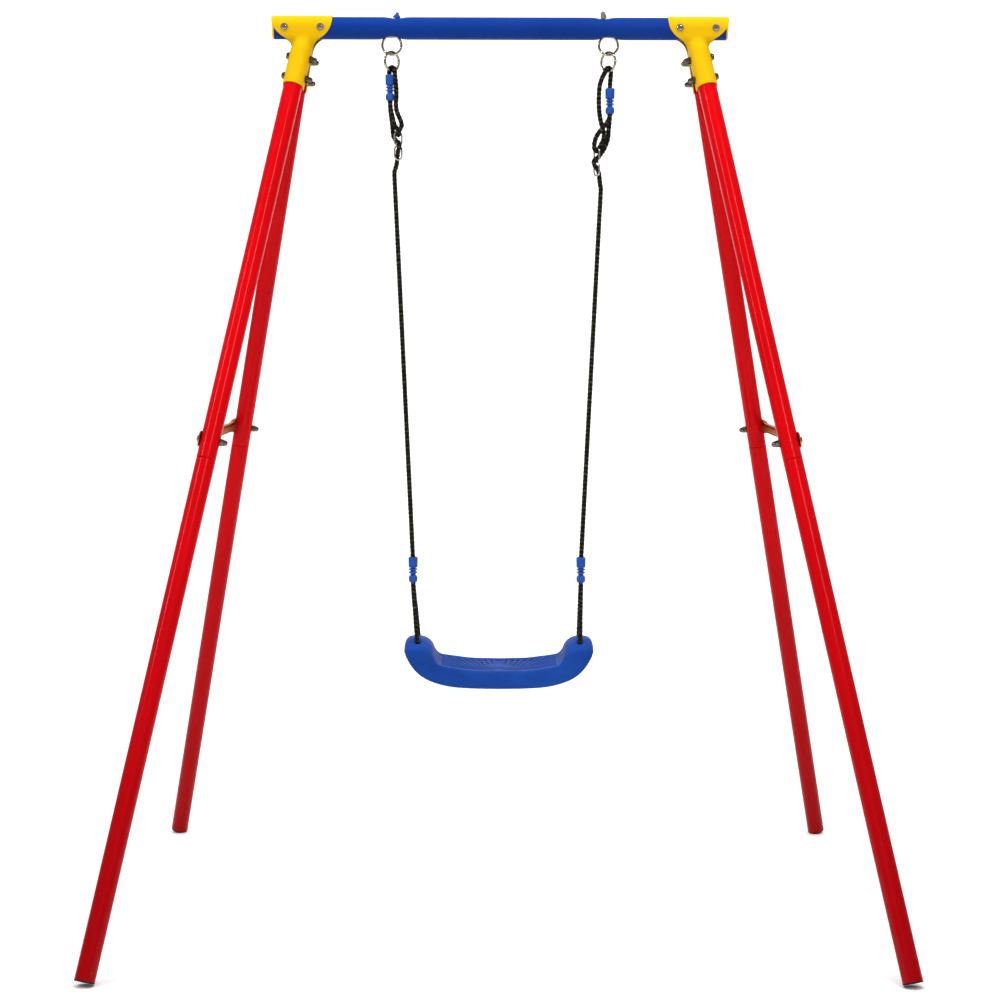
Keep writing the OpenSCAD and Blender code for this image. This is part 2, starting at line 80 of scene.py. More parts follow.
class Mat:
    """A small node-graph builder around one Principled shader."""

    def __init__(self, name):
        self.m = bpy.data.materials.new(name)
        self.m.use_nodes = True
        self.t = self.m.node_tree
        self.b = next(n for n in self.t.nodes if n.type == "BSDF_PRINCIPLED")
        self.co = self.t.nodes.new("ShaderNodeTexCoord")

    def set(self, **k):
        for n, v in k.items():
            self.b.inputs[n.replace("_", " ")].default_value = v
        return self

    def link(self, a, b):
        self.t.links.new(a, b)

    def mapped(self, scale=(1, 1, 1), src="Object"):
        n = self.t.nodes.new("ShaderNodeMapping")
        n.inputs["Scale"].default_value = scale
        self.link(self.co.outputs[src], n.inputs["Vector"])
        return n.outputs["Vector"]

    def noise(self, scale, detail=3, rough=0.55, vec=None, distortion=0.0):
        n = self.t.nodes.new("ShaderNodeTexNoise")
        n.inputs["Scale"].default_value = scale
        n.inputs["Detail"].default_value = detail
        n.inputs["Roughness"].default_value = rough
        n.inputs["Distortion"].default_value = distortion
        self.link(vec or self.co.outputs["Object"], n.inputs["Vector"])
        return n.outputs["Fac"]

    def ramp(self, fac, stops):
        n = self.t.nodes.new("ShaderNodeValToRGB")
        e = n.color_ramp.elements
        e[0].position, e[0].color = stops[0][0], stops[0][1]
        e[1].position, e[1].color = stops[-1][0], stops[-1][1]
        for p, c in stops[1:-1]:
            x = e.new(p)
            x.color = c
        self.link(fac, n.inputs["Fac"])
        return n.outputs["Color"]

    def remap(self, fac, a, b, lo, hi):
        n = self.t.nodes.new("ShaderNodeMapRange")
        n.inputs["From Min"].default_value = a
        n.inputs["From Max"].default_value = b
        n.inputs["To Min"].default_value = lo
        n.inputs["To Max"].default_value = hi
        self.link(fac, n.inputs["Value"])
        return n.outputs["Result"]

    def mix(self, fac, a, b, mode="MIX"):
        n = self.t.nodes.new("ShaderNodeMix")
        n.data_type = "RGBA"
        n.blend_type = mode
        ins = [i for i in n.inputs if i.enabled or True]
        f = next(i for i in n.inputs if i.name == "Factor" and i.type == "VALUE")
        A = next(i for i in n.inputs if i.name == "A" and i.type == "RGBA")
        B = next(i for i in n.inputs if i.name == "B" and i.type == "RGBA")
        for sock, v in ((f, fac), (A, a), (B, b)):
            if hasattr(v, "links") or isinstance(v, bpy.types.NodeSocket):
                self.link(v, sock)
            else:
                sock.default_value = v
        return next(o for o in n.outputs if o.type == "RGBA")

    def math(self, op, a, b=0.0, clamp=False):
        n = self.t.nodes.new("ShaderNodeMath")
        n.operation = op
        n.use_clamp = clamp
        for i, v in enumerate((a, b)):
            if isinstance(v, bpy.types.NodeSocket):
                self.link(v, n.inputs[i])
            else:
                n.inputs[i].default_value = v
        return n.outputs[0]

    def bump(self, height, distance, strength=1.0, before=None):
        n = self.t.nodes.new("ShaderNodeBump")
        n.inputs["Strength"].default_value = strength
        n.inputs["Distance"].default_value = distance
        self.link(height, n.inputs["Height"])
        if before is not None:
            self.link(before, n.inputs["Normal"])
        return n.outputs["Normal"]

    def color(self, out):
        self.link(out, self.b.inputs["Base Color"])
        return self

    def rough(self, out):
        self.link(out, self.b.inputs["Roughness"])
        return self

    def normal(self, out):
        self.link(out, self.b.inputs["Normal"])
        return self

    def z(self):
        n = self.t.nodes.new("ShaderNodeSeparateXYZ")
        self.link(self.co.outputs["Object"], n.inputs[0])
        return n.outputs["Z"]


def scale(c, k):
    return (c[0] * k, c[1] * k, c[2] * k, 1.0)


def powder_coat(name, base, dark, chip, rough=(0.26, 0.38), peel=0.00006, coat=0.25, low=None, gloss=0.06):
    """Powder-coated steel: slow shade drift, orange peel, fine specks, scuffs and bare steel at a few chips; with low,
    painted shade darkening towards the floor.
    """
    m = Mat(name)
    big = m.noise(3.0, 4, 0.5)
    mid = m.noise(60.0, 4, 0.6)
    fine = m.noise(900.0, 2, 0.5)
    c = m.ramp(big, [(0.30, dark), (0.62, base)])
    c = m.mix(m.remap(mid, 0.45, 0.75, 0.0, 0.22), c, dark)
    c = m.mix(m.remap(fine, 0.60, 0.80, 0.0, 0.10), c, scale(base, 1.15))
    # painted shade: given low, the colour darkens towards the floor, from low[1] down to low[0] in height
    if low is not None:
        c = m.mix(m.remap(m.z(), low[0], low[1], low[2], 0.0), c, low[3])
    # scuffs: stretched noise, thin and rare
    scuff = m.noise(1.0, 5, 0.65, m.mapped((240, 240, 46)), 0.6)
    c = m.mix(m.remap(scuff, 0.705, 0.73, 0.0, 0.35), c, scale(base, 1.35))
    chips = m.noise(170.0, 3, 0.6)
    spot = m.math("MULTIPLY", m.remap(chips, 0.735, 0.75, 0.0, 1.0), m.remap(m.noise(9.0, 2), 0.52, 0.6, 0.0, 1.0), True)
    c = m.mix(spot, c, chip)
    m.color(c)
    m.rough(m.math("ADD", m.remap(mid, 0.3, 0.7, rough[0], rough[1]), m.remap(scuff, 0.68, 0.76, 0.0, 0.18)))
    m.normal(m.bump(m.noise(330.0, 2, 0.5), peel, 1.0, m.bump(m.math("MULTIPLY", spot, -1.0), 0.00012)))
    m.set(Coat_Weight=coat, Coat_Roughness=0.12, IOR=1.5, Specular_IOR_Level=gloss)
    return m.m


def moulded(name, base, dark, light, rough=(0.34, 0.46), grain=0.00004, wear=0.25, coat=0.0, grooves=False, gloss=0.06):
    """Moulded plastic: flow marks, fine grain, rubbed lighter edges, painted shade in hollows and, with grooves,
    painted shade in the grooves.
    """
    m = Mat(name)
    flow = m.noise(1.0, 4, 0.6, m.mapped((7, 16, 22)), 1.2)
    speck = m.noise(700.0, 2, 0.5)
    c = m.ramp(flow, [(0.32, dark), (0.66, base)])
    c = m.mix(m.remap(speck, 0.58, 0.8, 0.0, 0.14), c, light)
    geo = m.t.nodes.new("ShaderNodeNewGeometry")
    edge = m.remap(geo.outputs["Pointiness"], 0.515, 0.58, 0.0, wear)
    rub = m.math("MULTIPLY", edge, m.remap(m.noise(45.0, 4, 0.6), 0.38, 0.62, 0.2, 1.0))
    c = m.mix(rub, c, light)
    # painted shade: hollows (low pointiness) are darkened towards a deep dark tone of the base
    cavity_shade = m.remap(geo.outputs["Pointiness"], 0.43, 0.49, 0.30, 0.0)
    c = m.mix(cavity_shade, c, scale(dark, 0.55))
    scratch = m.noise(1.0, 5, 0.7, m.mapped((40, 300, 300)), 0.8)
    c = m.mix(m.remap(scratch, 0.71, 0.735, 0.0, 0.3), c, light)
    if grooves:
        # painted shade: the tread's groove lines, from the mesh attribute, are darkened
        n = m.t.nodes.new("ShaderNodeAttribute")
        n.attribute_name = "groove"
        c = m.mix(m.math("MULTIPLY", n.outputs["Fac"], 0.75), c, scale(dark, 0.42))
    m.color(c)
    m.rough(m.math("ADD", m.remap(m.noise(28.0, 4), 0.3, 0.7, rough[0], rough[1]), m.remap(scratch, 0.69, 0.76, 0.0, 0.14)))
    m.normal(m.bump(speck, grain))
    m.set(Coat_Weight=coat, Coat_Roughness=0.2, IOR=1.48, Specular_IOR_Level=gloss)
    return m.m


def plated(name, base, tint, dull, rough=(0.18, 0.34), edge=(1, 1, 1, 1)):
    """Zinc or chrome plate: cloudy tint, fine brushing, darker dull spots."""
    m = Mat(name)
    cloud = m.noise(150.0, 4, 0.6)
    c = m.ramp(cloud, [(0.34, tint), (0.60, base)])
    spots = m.noise(520.0, 3, 0.6)
    c = m.mix(m.remap(spots, 0.62, 0.72, 0.0, 0.7), c, dull)
    m.color(c)
    brush = m.noise(1.0, 3, 0.6, m.mapped((260, 260, 2400)))
    m.rough(m.math("ADD", m.remap(brush, 0.3, 0.7, rough[0], rough[1]), m.remap(spots, 0.6, 0.75, 0.0, 0.25)))
    m.normal(m.bump(m.noise(1500.0, 2), 0.00002))
    m.set(Metallic=1.0, IOR=1.45, Specular_Tint=edge)
    return m.m


def braid(name):
    """Black polypropylene cord: the strand relief is in the mesh; fibres, olive flecks and painted shade in the gaps
    between strands are here. UV: u round the rope, v along it in rope diameters.
    """
    m = Mat(name)
    fibre = m.noise(1.0, 4, 0.65, m.mapped((26, 3.0, 1), "UV"), 0.5)
    fuzz = m.noise(2600.0, 2)
    black, grey, olive = lin(9, 9, 9), lin(34, 33, 31), lin(92, 86, 64)

    def attribute(label):
        n = m.t.nodes.new("ShaderNodeAttribute")
        n.attribute_name = label
        return n.outputs["Fac"]
    c = m.ramp(fibre, [(0.34, black), (0.74, grey)])
    crown = attribute("crown")
    # painted shade: where the strand height (crown) is low, in the gaps between strands, the colour goes almost black
    c = m.mix(m.remap(crown, 0.50, 0.88, 1.0, 0.0), c, scale(black, 0.2))
    patchy = m.remap(m.noise(1.0, 2, 0.5, m.mapped((5.0, 2.2, 1), "UV")), 0.44, 0.62, 0.0, 0.85)
    c = m.mix(m.math("MULTIPLY", attribute("fleck"), patchy), c, olive)
    m.color(c)
    m.rough(m.remap(fibre, 0.3, 0.7, 0.55, 0.8))
    m.normal(m.bump(fibre, 0.00025, 1.0, m.bump(fuzz, 0.00008)))
    m.set(Specular_IOR_Level=0.08)
    return m.m


RED = scale(lin(238, 4, 16), 0.66)
M = {
    # red legs: painted shade, the colour darkens towards the floor below 1.1 m (low)
    "red": powder_coat("red_powder_coat", RED, scale(lin(222, 3, 12), 0.66), lin(120, 118, 116), (0.12, 0.18), 0.00003, 0.0,
                       low=(0.0, 1.1, 0.85, lin(134, 2, 8)), gloss=0.07),
    "blue": powder_coat("blue_powder_coat", scale(lin(16, 62, 156), 0.68), scale(lin(14, 55, 141), 0.68), lin(120, 120, 118), (0.34, 0.46), 0.00005, 0.0),
    "yellow": powder_coat("yellow_powder_coat", scale(lin(253, 200, 6), 0.68), scale(lin(246, 191, 2), 0.68), lin(150, 146, 130), (0.34, 0.46), 0.00005, 0.0),
    "cap": moulded("yellow_cap_plastic", lin(248, 200, 20), lin(236, 186, 8), lin(255, 224, 90)),
    "seat": moulded("blue_seat_plastic", scale(lin(32, 78, 168), 0.80), scale(lin(27, 68, 152), 0.80), lin(60, 98, 180), (0.42, 0.55), 0.00005, 0.14, grooves=True, gloss=0.02),
    "clamp": moulded("blue_clamp_plastic", scale(lin(50, 94, 184), 0.82), scale(lin(38, 76, 164), 0.82), lin(100, 134, 206), (0.26, 0.36), 0.00002, 0.35),
    "cover": moulded("blue_cover_plastic", scale(lin(28, 74, 168), 0.85), scale(lin(22, 62, 148), 0.85), lin(80, 116, 190)),
    "black": moulded("black_plug_plastic", lin(30, 30, 33), lin(20, 20, 22), lin(70, 70, 72), (0.5, 0.65)),
    "zinc": plated("bright_zinc", (0.20, 0.175, 0.135, 1), (0.13, 0.11, 0.08, 1), (0.06, 0.05, 0.04, 1), (0.08, 0.16), (0.25, 0.23, 0.20, 1)),
    "gold": plated("yellow_zinc", (0.50, 0.26, 0.15, 1), (0.36, 0.18, 0.10, 1), (0.15, 0.08, 0.045, 1), (0.16, 0.28), (0.44, 0.24, 0.15, 1)),
    "wire": plated("polished_wire", (0.52, 0.47, 0.37, 1), (0.36, 0.30, 0.21, 1), (0.14, 0.11, 0.08, 1), (0.07, 0.14)),
    "steel": plated("adjuster_wire", (0.62, 0.61, 0.57, 1), (0.50, 0.48, 0.42, 1), (0.28, 0.26, 0.22, 1), (0.12, 0.24)),
    "rope": braid("black_braid"),
}

# ------------------------------------------------------------------ mesh kit
class Geo:
    """Collects vertices and faces of one piece, in millimetres."""

    def __init__(self):
        self.v, self.f, self.n = [], [], 0
        self.uv = {}

    def add(self, v, f):
        v = np.asarray(v, float).reshape(-1, 3)
        self.f += [tuple(int(i) + self.n for i in q) for q in f]
        self.v.append(v)
        self.n += len(v)
        return self

    def grid(self, pts, close_u=False, close_v=False, flip=False):
        """pts[i][j] as an array (nu, nv, 3)."""
        pts = np.asarray(pts, float)
        nu, nv = pts.shape[:2]
        f = []
        for i in range(nu if close_u else nu - 1):
            a = i * nv
            b = ((i + 1) % nu) * nv
            for j in range(nv if close_v else nv - 1):
                k = (j + 1) % nv
                q = (a + j, b + j, b + k, a + k)
                f.append(q[::-1] if flip else q)
        return self.add(pts.reshape(-1, 3), f)

    def lathe(self, profile, origin=(0, 0, 0), axis=(0, 0, 1), segs=64, closed=False, radius=None, ref=None):
        """profile is (r, h) points. Open profiles start and end on the axis (r = 0)."""
        o, a = np.array(origin, float), np.array(axis, float)
        a /= np.linalg.norm(a)
        if ref is None:
            ref = (1, 0, 0) if abs(a[0]) < 0.9 else (0, 1, 0)
        x = np.array(ref, float)
        x -= a * (x @ a)
        x /= np.linalg.norm(x)
        y = np.cross(a, x)
        th = np.linspace(0, 2 * np.pi, segs, endpoint=False)
        ring = np.cos(th)[:, None] * x + np.sin(th)[:, None] * y
        start, v, f, rows = 0, [], [], []
        for r, h in profile:
            if r == 0:
                rows.append([len(v)])
                v.append(o + a * h)
            else:
                rr = np.full(segs, r) if radius is None else np.minimum(radius(th), r)
                rows.append(list(range(len(v), len(v) + segs)))
                v += list(o + a * h + ring * rr[:, None])
        pairs = list(zip(rows[:-1], rows[1:])) + ([(rows[-1], rows[0])] if closed else [])
        for p, q in pairs:
            for j in range(segs):
                k = (j + 1) % segs
                if len(p) == 1 and len(q) == 1:
                    continue
                if len(p) == 1:
                    f.append((p[0], q[k], q[j]))
                elif len(q) == 1:
                    f.append((p[j], p[k], q[0]))
                else:
                    f.append((p[j], p[k], q[k], q[j]))
        return self.add(v, f)

    def sweep(self, path, r, segs=12, closed=False, caps=True):
        p = np.asarray(path, float)
        n = len(p)
        if closed:
            t = np.roll(p, -1, 0) - np.roll(p, 1, 0)
        else:
            t = np.gradient(p, axis=0)
        t /= np.linalg.norm(t, axis=1)[:, None]
        u = transport(t, closed)
        w = np.cross(t, u)
        th = np.linspace(0, 2 * np.pi, segs, endpoint=False)
        pts = p[:, None] + r * (np.cos(th)[None, :, None] * u[:, None] + np.sin(th)[None, :, None] * w[:, None])
        base = self.n
        self.grid(pts, close_u=closed, close_v=True, flip=True)
        if not closed and caps:
            self.f.append(tuple(base + j for j in range(segs)))
            self.f.append(tuple(base + (n - 1) * segs + j for j in range(segs - 1, -1, -1)))
        return self

    def make(self, name, mat, body, nodes=(), angle=35, smooth=True, uv=None):
        v = np.concatenate(self.v) / 1000.0
        me = bpy.data.meshes.new(name)
        me.from_pydata(v.tolist(), [], self.f)
        me.validate()
        me.update()
        import bmesh
        bm = bmesh.new()
        bm.from_mesh(me)
        bmesh.ops.recalc_face_normals(bm, faces=bm.faces)
        bm.to_mesh(me)
        bm.free()
        for p in me.polygons:
            p.use_smooth = smooth
        if smooth and angle:
            me.set_sharp_from_angle(angle=math.radians(angle))
        me.materials.append(M[mat])
        o = bpy.data.objects.new(name, me)
        scene.collection.objects.link(o)
        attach(o, body)
        if nodes:
            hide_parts(*nodes)
        return o


def transport(t, closed=False):
    u = np.zeros_like(t)
    a = np.array([0, 1.0, 0]) if abs(t[0][1]) < 0.9 else np.array([1.0, 0, 0])
    u[0] = a - t[0] * (a @ t[0])
    u[0] /= np.linalg.norm(u[0])
    for i in range(1, len(t)):
        w = u[i - 1] - t[i] * (u[i - 1] @ t[i])
        u[i] = w / np.linalg.norm(w)
    return u


def catmull(P, k):
    P = np.array(P, float)
    n, out = len(P), []
    for i in range(n - 1):
        a = P[i - 1] if i > 0 else 2 * P[0] - P[1]
        d = P[i + 2] if i + 2 < n else 2 * P[-1] - P[-2]
        p0, p1, p2, p3 = a, P[i], P[i + 1], d
        for j in range(k):
            t = j / k
            out.append(0.5 * (2 * p1 + (p2 - p0) * t + (2 * p0 - 5 * p1 + 4 * p2 - p3) * t * t + (3 * p1 - p0 - 3 * p2 + p3) * t ** 3))
    out.append(P[-1])
    return np.array(out)


def rounded(pts, r, n=4):
    """Rounds the inner corners of an (r, h) profile."""
    pts = [np.array(p, float) for p in pts]
    out = [pts[0]]
    for i in range(1, len(pts) - 1):
        a, b, c = pts[i - 1], pts[i], pts[i + 1]
        la, lc = np.linalg.norm(a - b), np.linalg.norm(c - b)
        d = min(r, la * 0.45, lc * 0.45)
        s, e = b + (a - b) / la * d, b + (c - b) / lc * d
        for j in range(n + 1):
            t = j / n
            out.append((1 - t) ** 2 * s + 2 * t * (1 - t) * b + t * t * e)
    out.append(pts[-1])
    return [(float(p[0]), float(p[1])) for p in out]


# ------------------------------------------------------------------ dimensions, from the frame
lo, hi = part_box("crossbeam")
BEAM_R = (hi.z - lo.z) / 2 * 1000
BEAM_Z = (hi.z + lo.z) / 2 * 1000
BEAM_L = hi.x * 1000
LEG_R, TOP_X, FOOT_X, FOOT_Y, RISE = 21.0, 433.0, 826.0, 725.0, 7.95
D = np.array([-(FOOT_X - TOP_X), -FOOT_Y, -(BEAM_Z - RISE)])
LEG_LEN = np.linalg.norm(D)
D /= LEG_LEN
lean_x = math.asin(-D[0])
lean_y = math.atan2(FOOT_Y, BEAM_Z - RISE)
EX = np.array([math.cos(lean_x), -math.sin(lean_x) * math.sin(lean_y), -math.sin(lean_x) * math.cos(lean_y)])
EY = np.array([0, math.cos(lean_y), math.sin(lean_y) * 0 - math.sin(lean_y)])
EY = np.cross(-D, EX)
LEG_END = (BEAM_Z - LEG_R * math.sqrt(1 - D[2] ** 2)) / -D[2]
LEGS = {f"{b}_{a}": (sx, sy) for a, sx in (("left", -1), ("right", 1)) for b, sy in (("front", -1), ("rear", 1))}


def leg(side, end):
    """A leg's origin on the beam axis and its frame: ex towards the middle, ey inwards, d down the leg."""
    k = np.array([-side if side < 0 else -1, -end if end < 0 else -1, 1.0])
    k = np.array([1.0 if side < 0 else -1.0, 1.0 if end < 0 else -1.0, 1.0])
    return np.array([side * TOP_X, 0, BEAM_Z]), EX * k, EY * k, D * k


# ------------------------------------------------------------------ legs, plugs
for name, (sx, sy) in LEGS.items():
    o, ex, ey, d = leg(sx, sy)
    w = 1.5
    joint = 1025.0
    prof = rounded([(LEG_R - w, 60), (LEG_R, 60), (LEG_R, joint), (LEG_R - w, joint), (LEG_R - w, 60.2)], 0.5)
    # many rings along the tube keep the shading even
    Geo().lathe(rounded([(LEG_R - w, 61), (LEG_R - w, 60), (LEG_R, 60), (LEG_R, 300), (LEG_R, 600), (LEG_R, joint - 2.2),
                         (LEG_R - 0.25, joint), (LEG_R - w, joint), (LEG_R - w, joint - 3)], 0.5),
                o, d, 96, closed=True).make(f"upper_leg_{name}_tube", "red", "frame", [f"upper_leg_{name}"])
    Geo().lathe(rounded([(LEG_R - 2 * w - 0.1, joint - 88), (LEG_R - 2 * w - 0.1, joint - 90), (LEG_R - w - 0.1, joint - 90), (LEG_R - w - 0.1, joint + 0.5),
                         (LEG_R - 0.5, joint + 1.2), (LEG_R, joint + 3.2), (LEG_R, 1300), (LEG_R, 1700), (LEG_R, LEG_END - 2.05), (LEG_R - w, LEG_END - 2.05),
                         (LEG_R - w, joint + 4), (LEG_R - 2 * w - 0.1, joint + 3.4)], 0.6),
                o, d, 96, closed=True).make(f"lower_leg_{name}_tube", "red", "frame", [f"lower_leg_{name}"])
    Geo().lathe(rounded([(0, LEG_END - 14), (LEG_R - w - 2.6, LEG_END - 14), (LEG_R - w - 2.6, LEG_END - 22), (LEG_R - w - 0.1, LEG_END - 22), (LEG_R - w - 0.1, LEG_END - 2),
                         (LEG_R, LEG_END - 2), (LEG_R, LEG_END), (LEG_R - 5, LEG_END), (LEG_R - 6.5, LEG_END - 0.8), (0, LEG_END - 0.8)], 0.5),
                o, d, 64).make(f"foot_plug_{name}_cap", "black", "frame", [f"foot_plug_{name}"])

# ------------------------------------------------------------------ crossbeam with pressed dimples
EYE_X, EYE_Z, EYE_R, WIRE = 242.0, 1938.0, 21.25, 3.0


def beam_xs():
    xs = list(np.linspace(-BEAM_L, -300, 22)) + list(np.linspace(-300, -170, 88))[1:]
    xs += list(np.linspace(-170, 170, 28))[1:-1]
    return np.array(xs + [-x for x in reversed(xs[:109])])


xs = np.unique(np.round(np.concatenate([np.linspace(-BEAM_L, -300, 22), np.linspace(-300, -180, 90), np.linspace(-180, 180, 30),
                                        np.linspace(180, 300, 90), np.linspace(300, BEAM_L, 22)]), 3))
th = np.concatenate([np.linspace(-40, 40, 56, endpoint=False), np.linspace(40, 320, 120, endpoint=False)]) - 90
th = np.radians(th)


def beam_ring(x, r):
    y, z = r * np.cos(th), r * np.sin(th)
    ax = abs(x)
    wide = math.exp(-((ax - 240.5) / 17.5) ** 2)
    under = np.clip(-z / BEAM_R, 0, 1) ** 1.5
    z = z + 4.0 * wide * under * np.exp(-(y / 17.0) ** 2) + 0.9 * wide * under
    # narrow pocket that the eye's top sits in
    reach = EYE_R + WIRE + 1.0
    dx = ax - EYE_X
    if abs(dx) < reach + 8:
        pocket = (EYE_Z - BEAM_Z) + math.sqrt(max(reach ** 2 - min(abs(dx), reach) ** 2, 0)) + (2.0 if r > BEAM_R - 1 else 3.6)
        soft = np.exp(-(np.abs(y) / 7.2) ** 4)
        lift = np.maximum(pocket - z, 0) * soft * (z < 0)
        edge = 1.0 if abs(dx) < reach - 1 else math.exp(-((abs(dx) - reach + 1) / 3.0) ** 2)
        z = z + lift * edge
    top = np.clip(z / BEAM_R, 0, 1) ** 2
    z = z - 5.2 * math.exp(-((ax - 231.5) / 15.0) ** 2) * top * np.exp(-(y / 12.5) ** 2)
    return np.stack([np.full_like(y, x), y, z + BEAM_Z], 1)


outer = np.array([beam_ring(x, BEAM_R) for x in xs])
inner = np.array([beam_ring(x, BEAM_R - 2) for x in xs])
g = Geo()
n0, nt = len(xs), len(th)
allp = np.concatenate([outer, inner[::-1]])
g.grid(allp, close_u=True, close_v=True)
g.make("crossbeam_tube", "blue", "frame", ["crossbeam"], 50)

for s, nm in ((-1, "left"), (1, "right")):
    Geo().lathe(rounded([(0, -8), (19, -8), (19, -20), (22.7, -20), (22.8, 0), (BEAM_R, 0), (BEAM_R, 3.0), (BEAM_R - 1.6, 4.5), (0, 4.5)], 0.6),
                (s * BEAM_L, 0, BEAM_Z), (s, 0, 0), 96).make(f"beam_cap_{nm}", "cap", "frame", [f"beam_end_cap_{nm}"])

# ------------------------------------------------------------------ brackets: one pressed sheet over the beam and down both legs
PLATE = 2.5
SLEEVE_END = 144.0


def edge_curves():
    outer = catmull([[510, 27.5], [510, 22], [509, 13], [506, 3], [500, -6], [490, -16], [478, -24.5], [469, -34], [465, -43], [465.5, -50]], 8)
    inner = catmull([[374, 27.5], [374, 22], [375, 12], [378, 0], [384, -10], [394, -20], [405, -27], [413, -35], [417, -45], [418, -52]], 8)
    return outer, inner


EO, EI = edge_curves()


def flap_edges(z):
    xo = np.interp(-z, -EO[:, 1], EO[:, 0])
    xi = np.interp(-z, -EI[:, 1], EI[:, 0])
    return xo, xi


def smoothstep(a, b, x):
    t = np.clip((x - a) / (b - a), 0, 1)
    return t * t * (3 - 2 * t)


def bracket_half(end, offset, nt=61):
    """Rows from the top of the beam down to the sleeve's end; offset is the distance from the sheet's inner face."""
    _, ex, ey, d = leg(-1, end)
    T = np.array([-TOP_X, 0, BEAM_Z])
    rows = []
    # around the beam's upper quarter
    angs = np.linspace(90, 0, 15)
    zs = list(np.concatenate([np.linspace(-1.5, -52, 40)]))
    stations = [("a", a) for a in angs] + [("z", z) for z in zs] + [("s", s) for s in np.linspace(66, SLEEVE_END, 30)]
    t = np.linspace(-1, 1, nt)
    for kind, val in stations:
        r = BEAM_R + 0.1 + offset
        if kind == "a":
            a = math.radians(val)
            z = (BEAM_R + PLATE) * math.sin(a)
            xo, xi = flap_edges(z)
            x = -(xi + (xo - xi) * (1 - t) / 2)
            rows.append(np.stack([x, np.full(nt, end * r * math.cos(a)), np.full(nt, BEAM_Z + r * math.sin(a))], 1))
            continue
        if kind == "z":
            z = val
            xo, xi = flap_edges(z)
            x = -(xi + (xo - xi) * (1 - t) / 2)
            flat = np.stack([x, np.full(nt, end * r), np.full(nt, BEAM_Z + z)], 1)
            # the station down the leg whose front line is level with z
            s = (-z + 0.0) / -D[2] + 8.6 * smoothstep(-14, -45, z)
        else:
            flat, s = None, val
        rho = LEG_R + 0.1 + offset
        arc = np.clip(np.abs(t) / 0.72, 0, 1) * (math.pi / 2)
        straight = np.clip((np.abs(t) - 0.72) / 0.28, 0, 1) * 14.0
        px = np.sign(t) * rho * np.sin(arc)
        py = -rho * np.cos(arc) + straight
        pipe = T + d * s + px[:, None] * ex + py[:, None] * ey
        if flat is None:
            rows.append(pipe)
        else:
            w = smoothstep(-15, -47, z)
            # the middle of the sheet leaves the flat sooner than its edges
            bell = w ** (1.0 + 0.8 * np.abs(t) ** 2)
            rows.append(flat * (1 - bell[:, None]) + pipe * bell[:, None])
    return rows


def bracket_sheet(offset):
    front = bracket_half(-1, offset)
    rear = bracket_half(1, offset)
    return np.array(rear[::-1] + front[1:])


def bracket(side, nm):
    a, b = bracket_sheet(PLATE), bracket_sheet(0.0)
    if side > 0:
        a, b = a * [-1, 1, 1], b * [-1, 1, 1]
    g = Geo()
    nu, nv = a.shape[:2]
    g.grid(a)
    g.grid(b, flip=True)
    # rim between the two faces
    A = lambda i, j: i * nv + j
    B = lambda i, j: nu * nv + i * nv + j
    for i in range(nu - 1):
        g.f.append((A(i, 0), A(i + 1, 0), B(i + 1, 0), B(i, 0)))
        g.f.append((A(i, nv - 1), B(i, nv - 1), B(i + 1, nv - 1), A(i + 1, nv - 1)))
    for j in range(nv - 1):
        g.f.append((A(0, j), B(0, j), B(0, j + 1), A(0, j + 1)))
        g.f.append((A(nu - 1, j), A(nu - 1, j + 1), B(nu - 1, j + 1), B(nu - 1, j)))
    o = g.make(f"bracket_{nm}_pressing", "yellow", "frame", [f"bracket_{nm}"], 45)
    bev = o.modifiers.new("edge", "BEVEL")
    bev.width, bev.segments, bev.limit_method, bev.angle_limit = 0.0006, 2, "ANGLE", math.radians(50)
    return o


bracket(-1, "left")
bracket(1, "right")

# ------------------------------------------------------------------ fasteners
def hexr(af):
    return lambda th: (af / 2) / np.cos((th + math.pi / 6) % (math.pi / 3) - math.pi / 6)


def along(o, a, h):
    return np.array(o, float) + np.array(a, float) * h


def dome_head(g, o, a, r=7.6, h=5.0):
    """Button head on its seat at o, pointing along a, with a round socket."""
    k = [(0, -1)]
    prof = [(0, 1.4), (3.1, 1.4), (3.2, h - 0.25)]
    arc = [(3.6 + (r - 3.6) * math.sin(t), (h - 1.2) * math.cos(t) + 1.0) for t in np.linspace(0.05, math.pi / 2, 10)]
    g.lathe([(0, 1.6), (2.9, 1.6), (3.0, h - 0.5), (3.4, h - 0.1)] + arc + [(r, 0), (0, 0)], o, a, 48)


def shank(g, o, a, length, r=3.95):
    g.lathe(rounded([(0, 0), (r, 0), (r, length - 0.8), (r - 0.8, length), (0, length)], 0.2), o, a, 32)


def washer_ring(g, o, a, r=8.5, t=1.6, hole=4.3):
    g.lathe(rounded([(hole, t / 2), (hole, 0), (r, 0), (r, t), (hole, t), (hole, t / 2)], 0.4), o, a, 48, closed=False)


def ring_closed(g, o, a, r=8.5, t=1.6, hole=4.3):
    c = 0.35
    g.lathe([(hole, 0), (r - c, 0), (r, c), (r, t - c), (r - c, t), (hole, t)], o, a, 48, closed=True)


def hex_body(g, o, a, af=13.0, h=6.5, r0=0.0, ref=None):
    R6 = af / math.sqrt(3)
    prof = [(0, 0), (R6 - 0.9, 0), (R6, 0.55), (R6, h - 0.55), (R6 - 0.9, h), (0, h)]
    g.lathe(prof, o, a, 72, radius=hexr(af), ref=ref)


def acorn(g, o, a, af=13.0, ref=None):
    R6 = af / math.sqrt(3)
    g.lathe([(0, 0), (R6 - 0.9, 0), (R6, 0.55), (R6, 5.9), (R6 - 0.9, 6.5), (6.25, 6.7), (0, 6.9)], o, a, 72, radius=hexr(af), ref=ref)
    arc = [(6.1 * math.cos(t), 9.0 + 6.1 * math.sin(t)) for t in np.linspace(0, math.pi / 2 - 0.06, 12)]
    g.lathe([(0, 5.5), (6.1, 5.5), (6.1, 7.5)] + arc + [(0, 15.1)], o, a, 48)


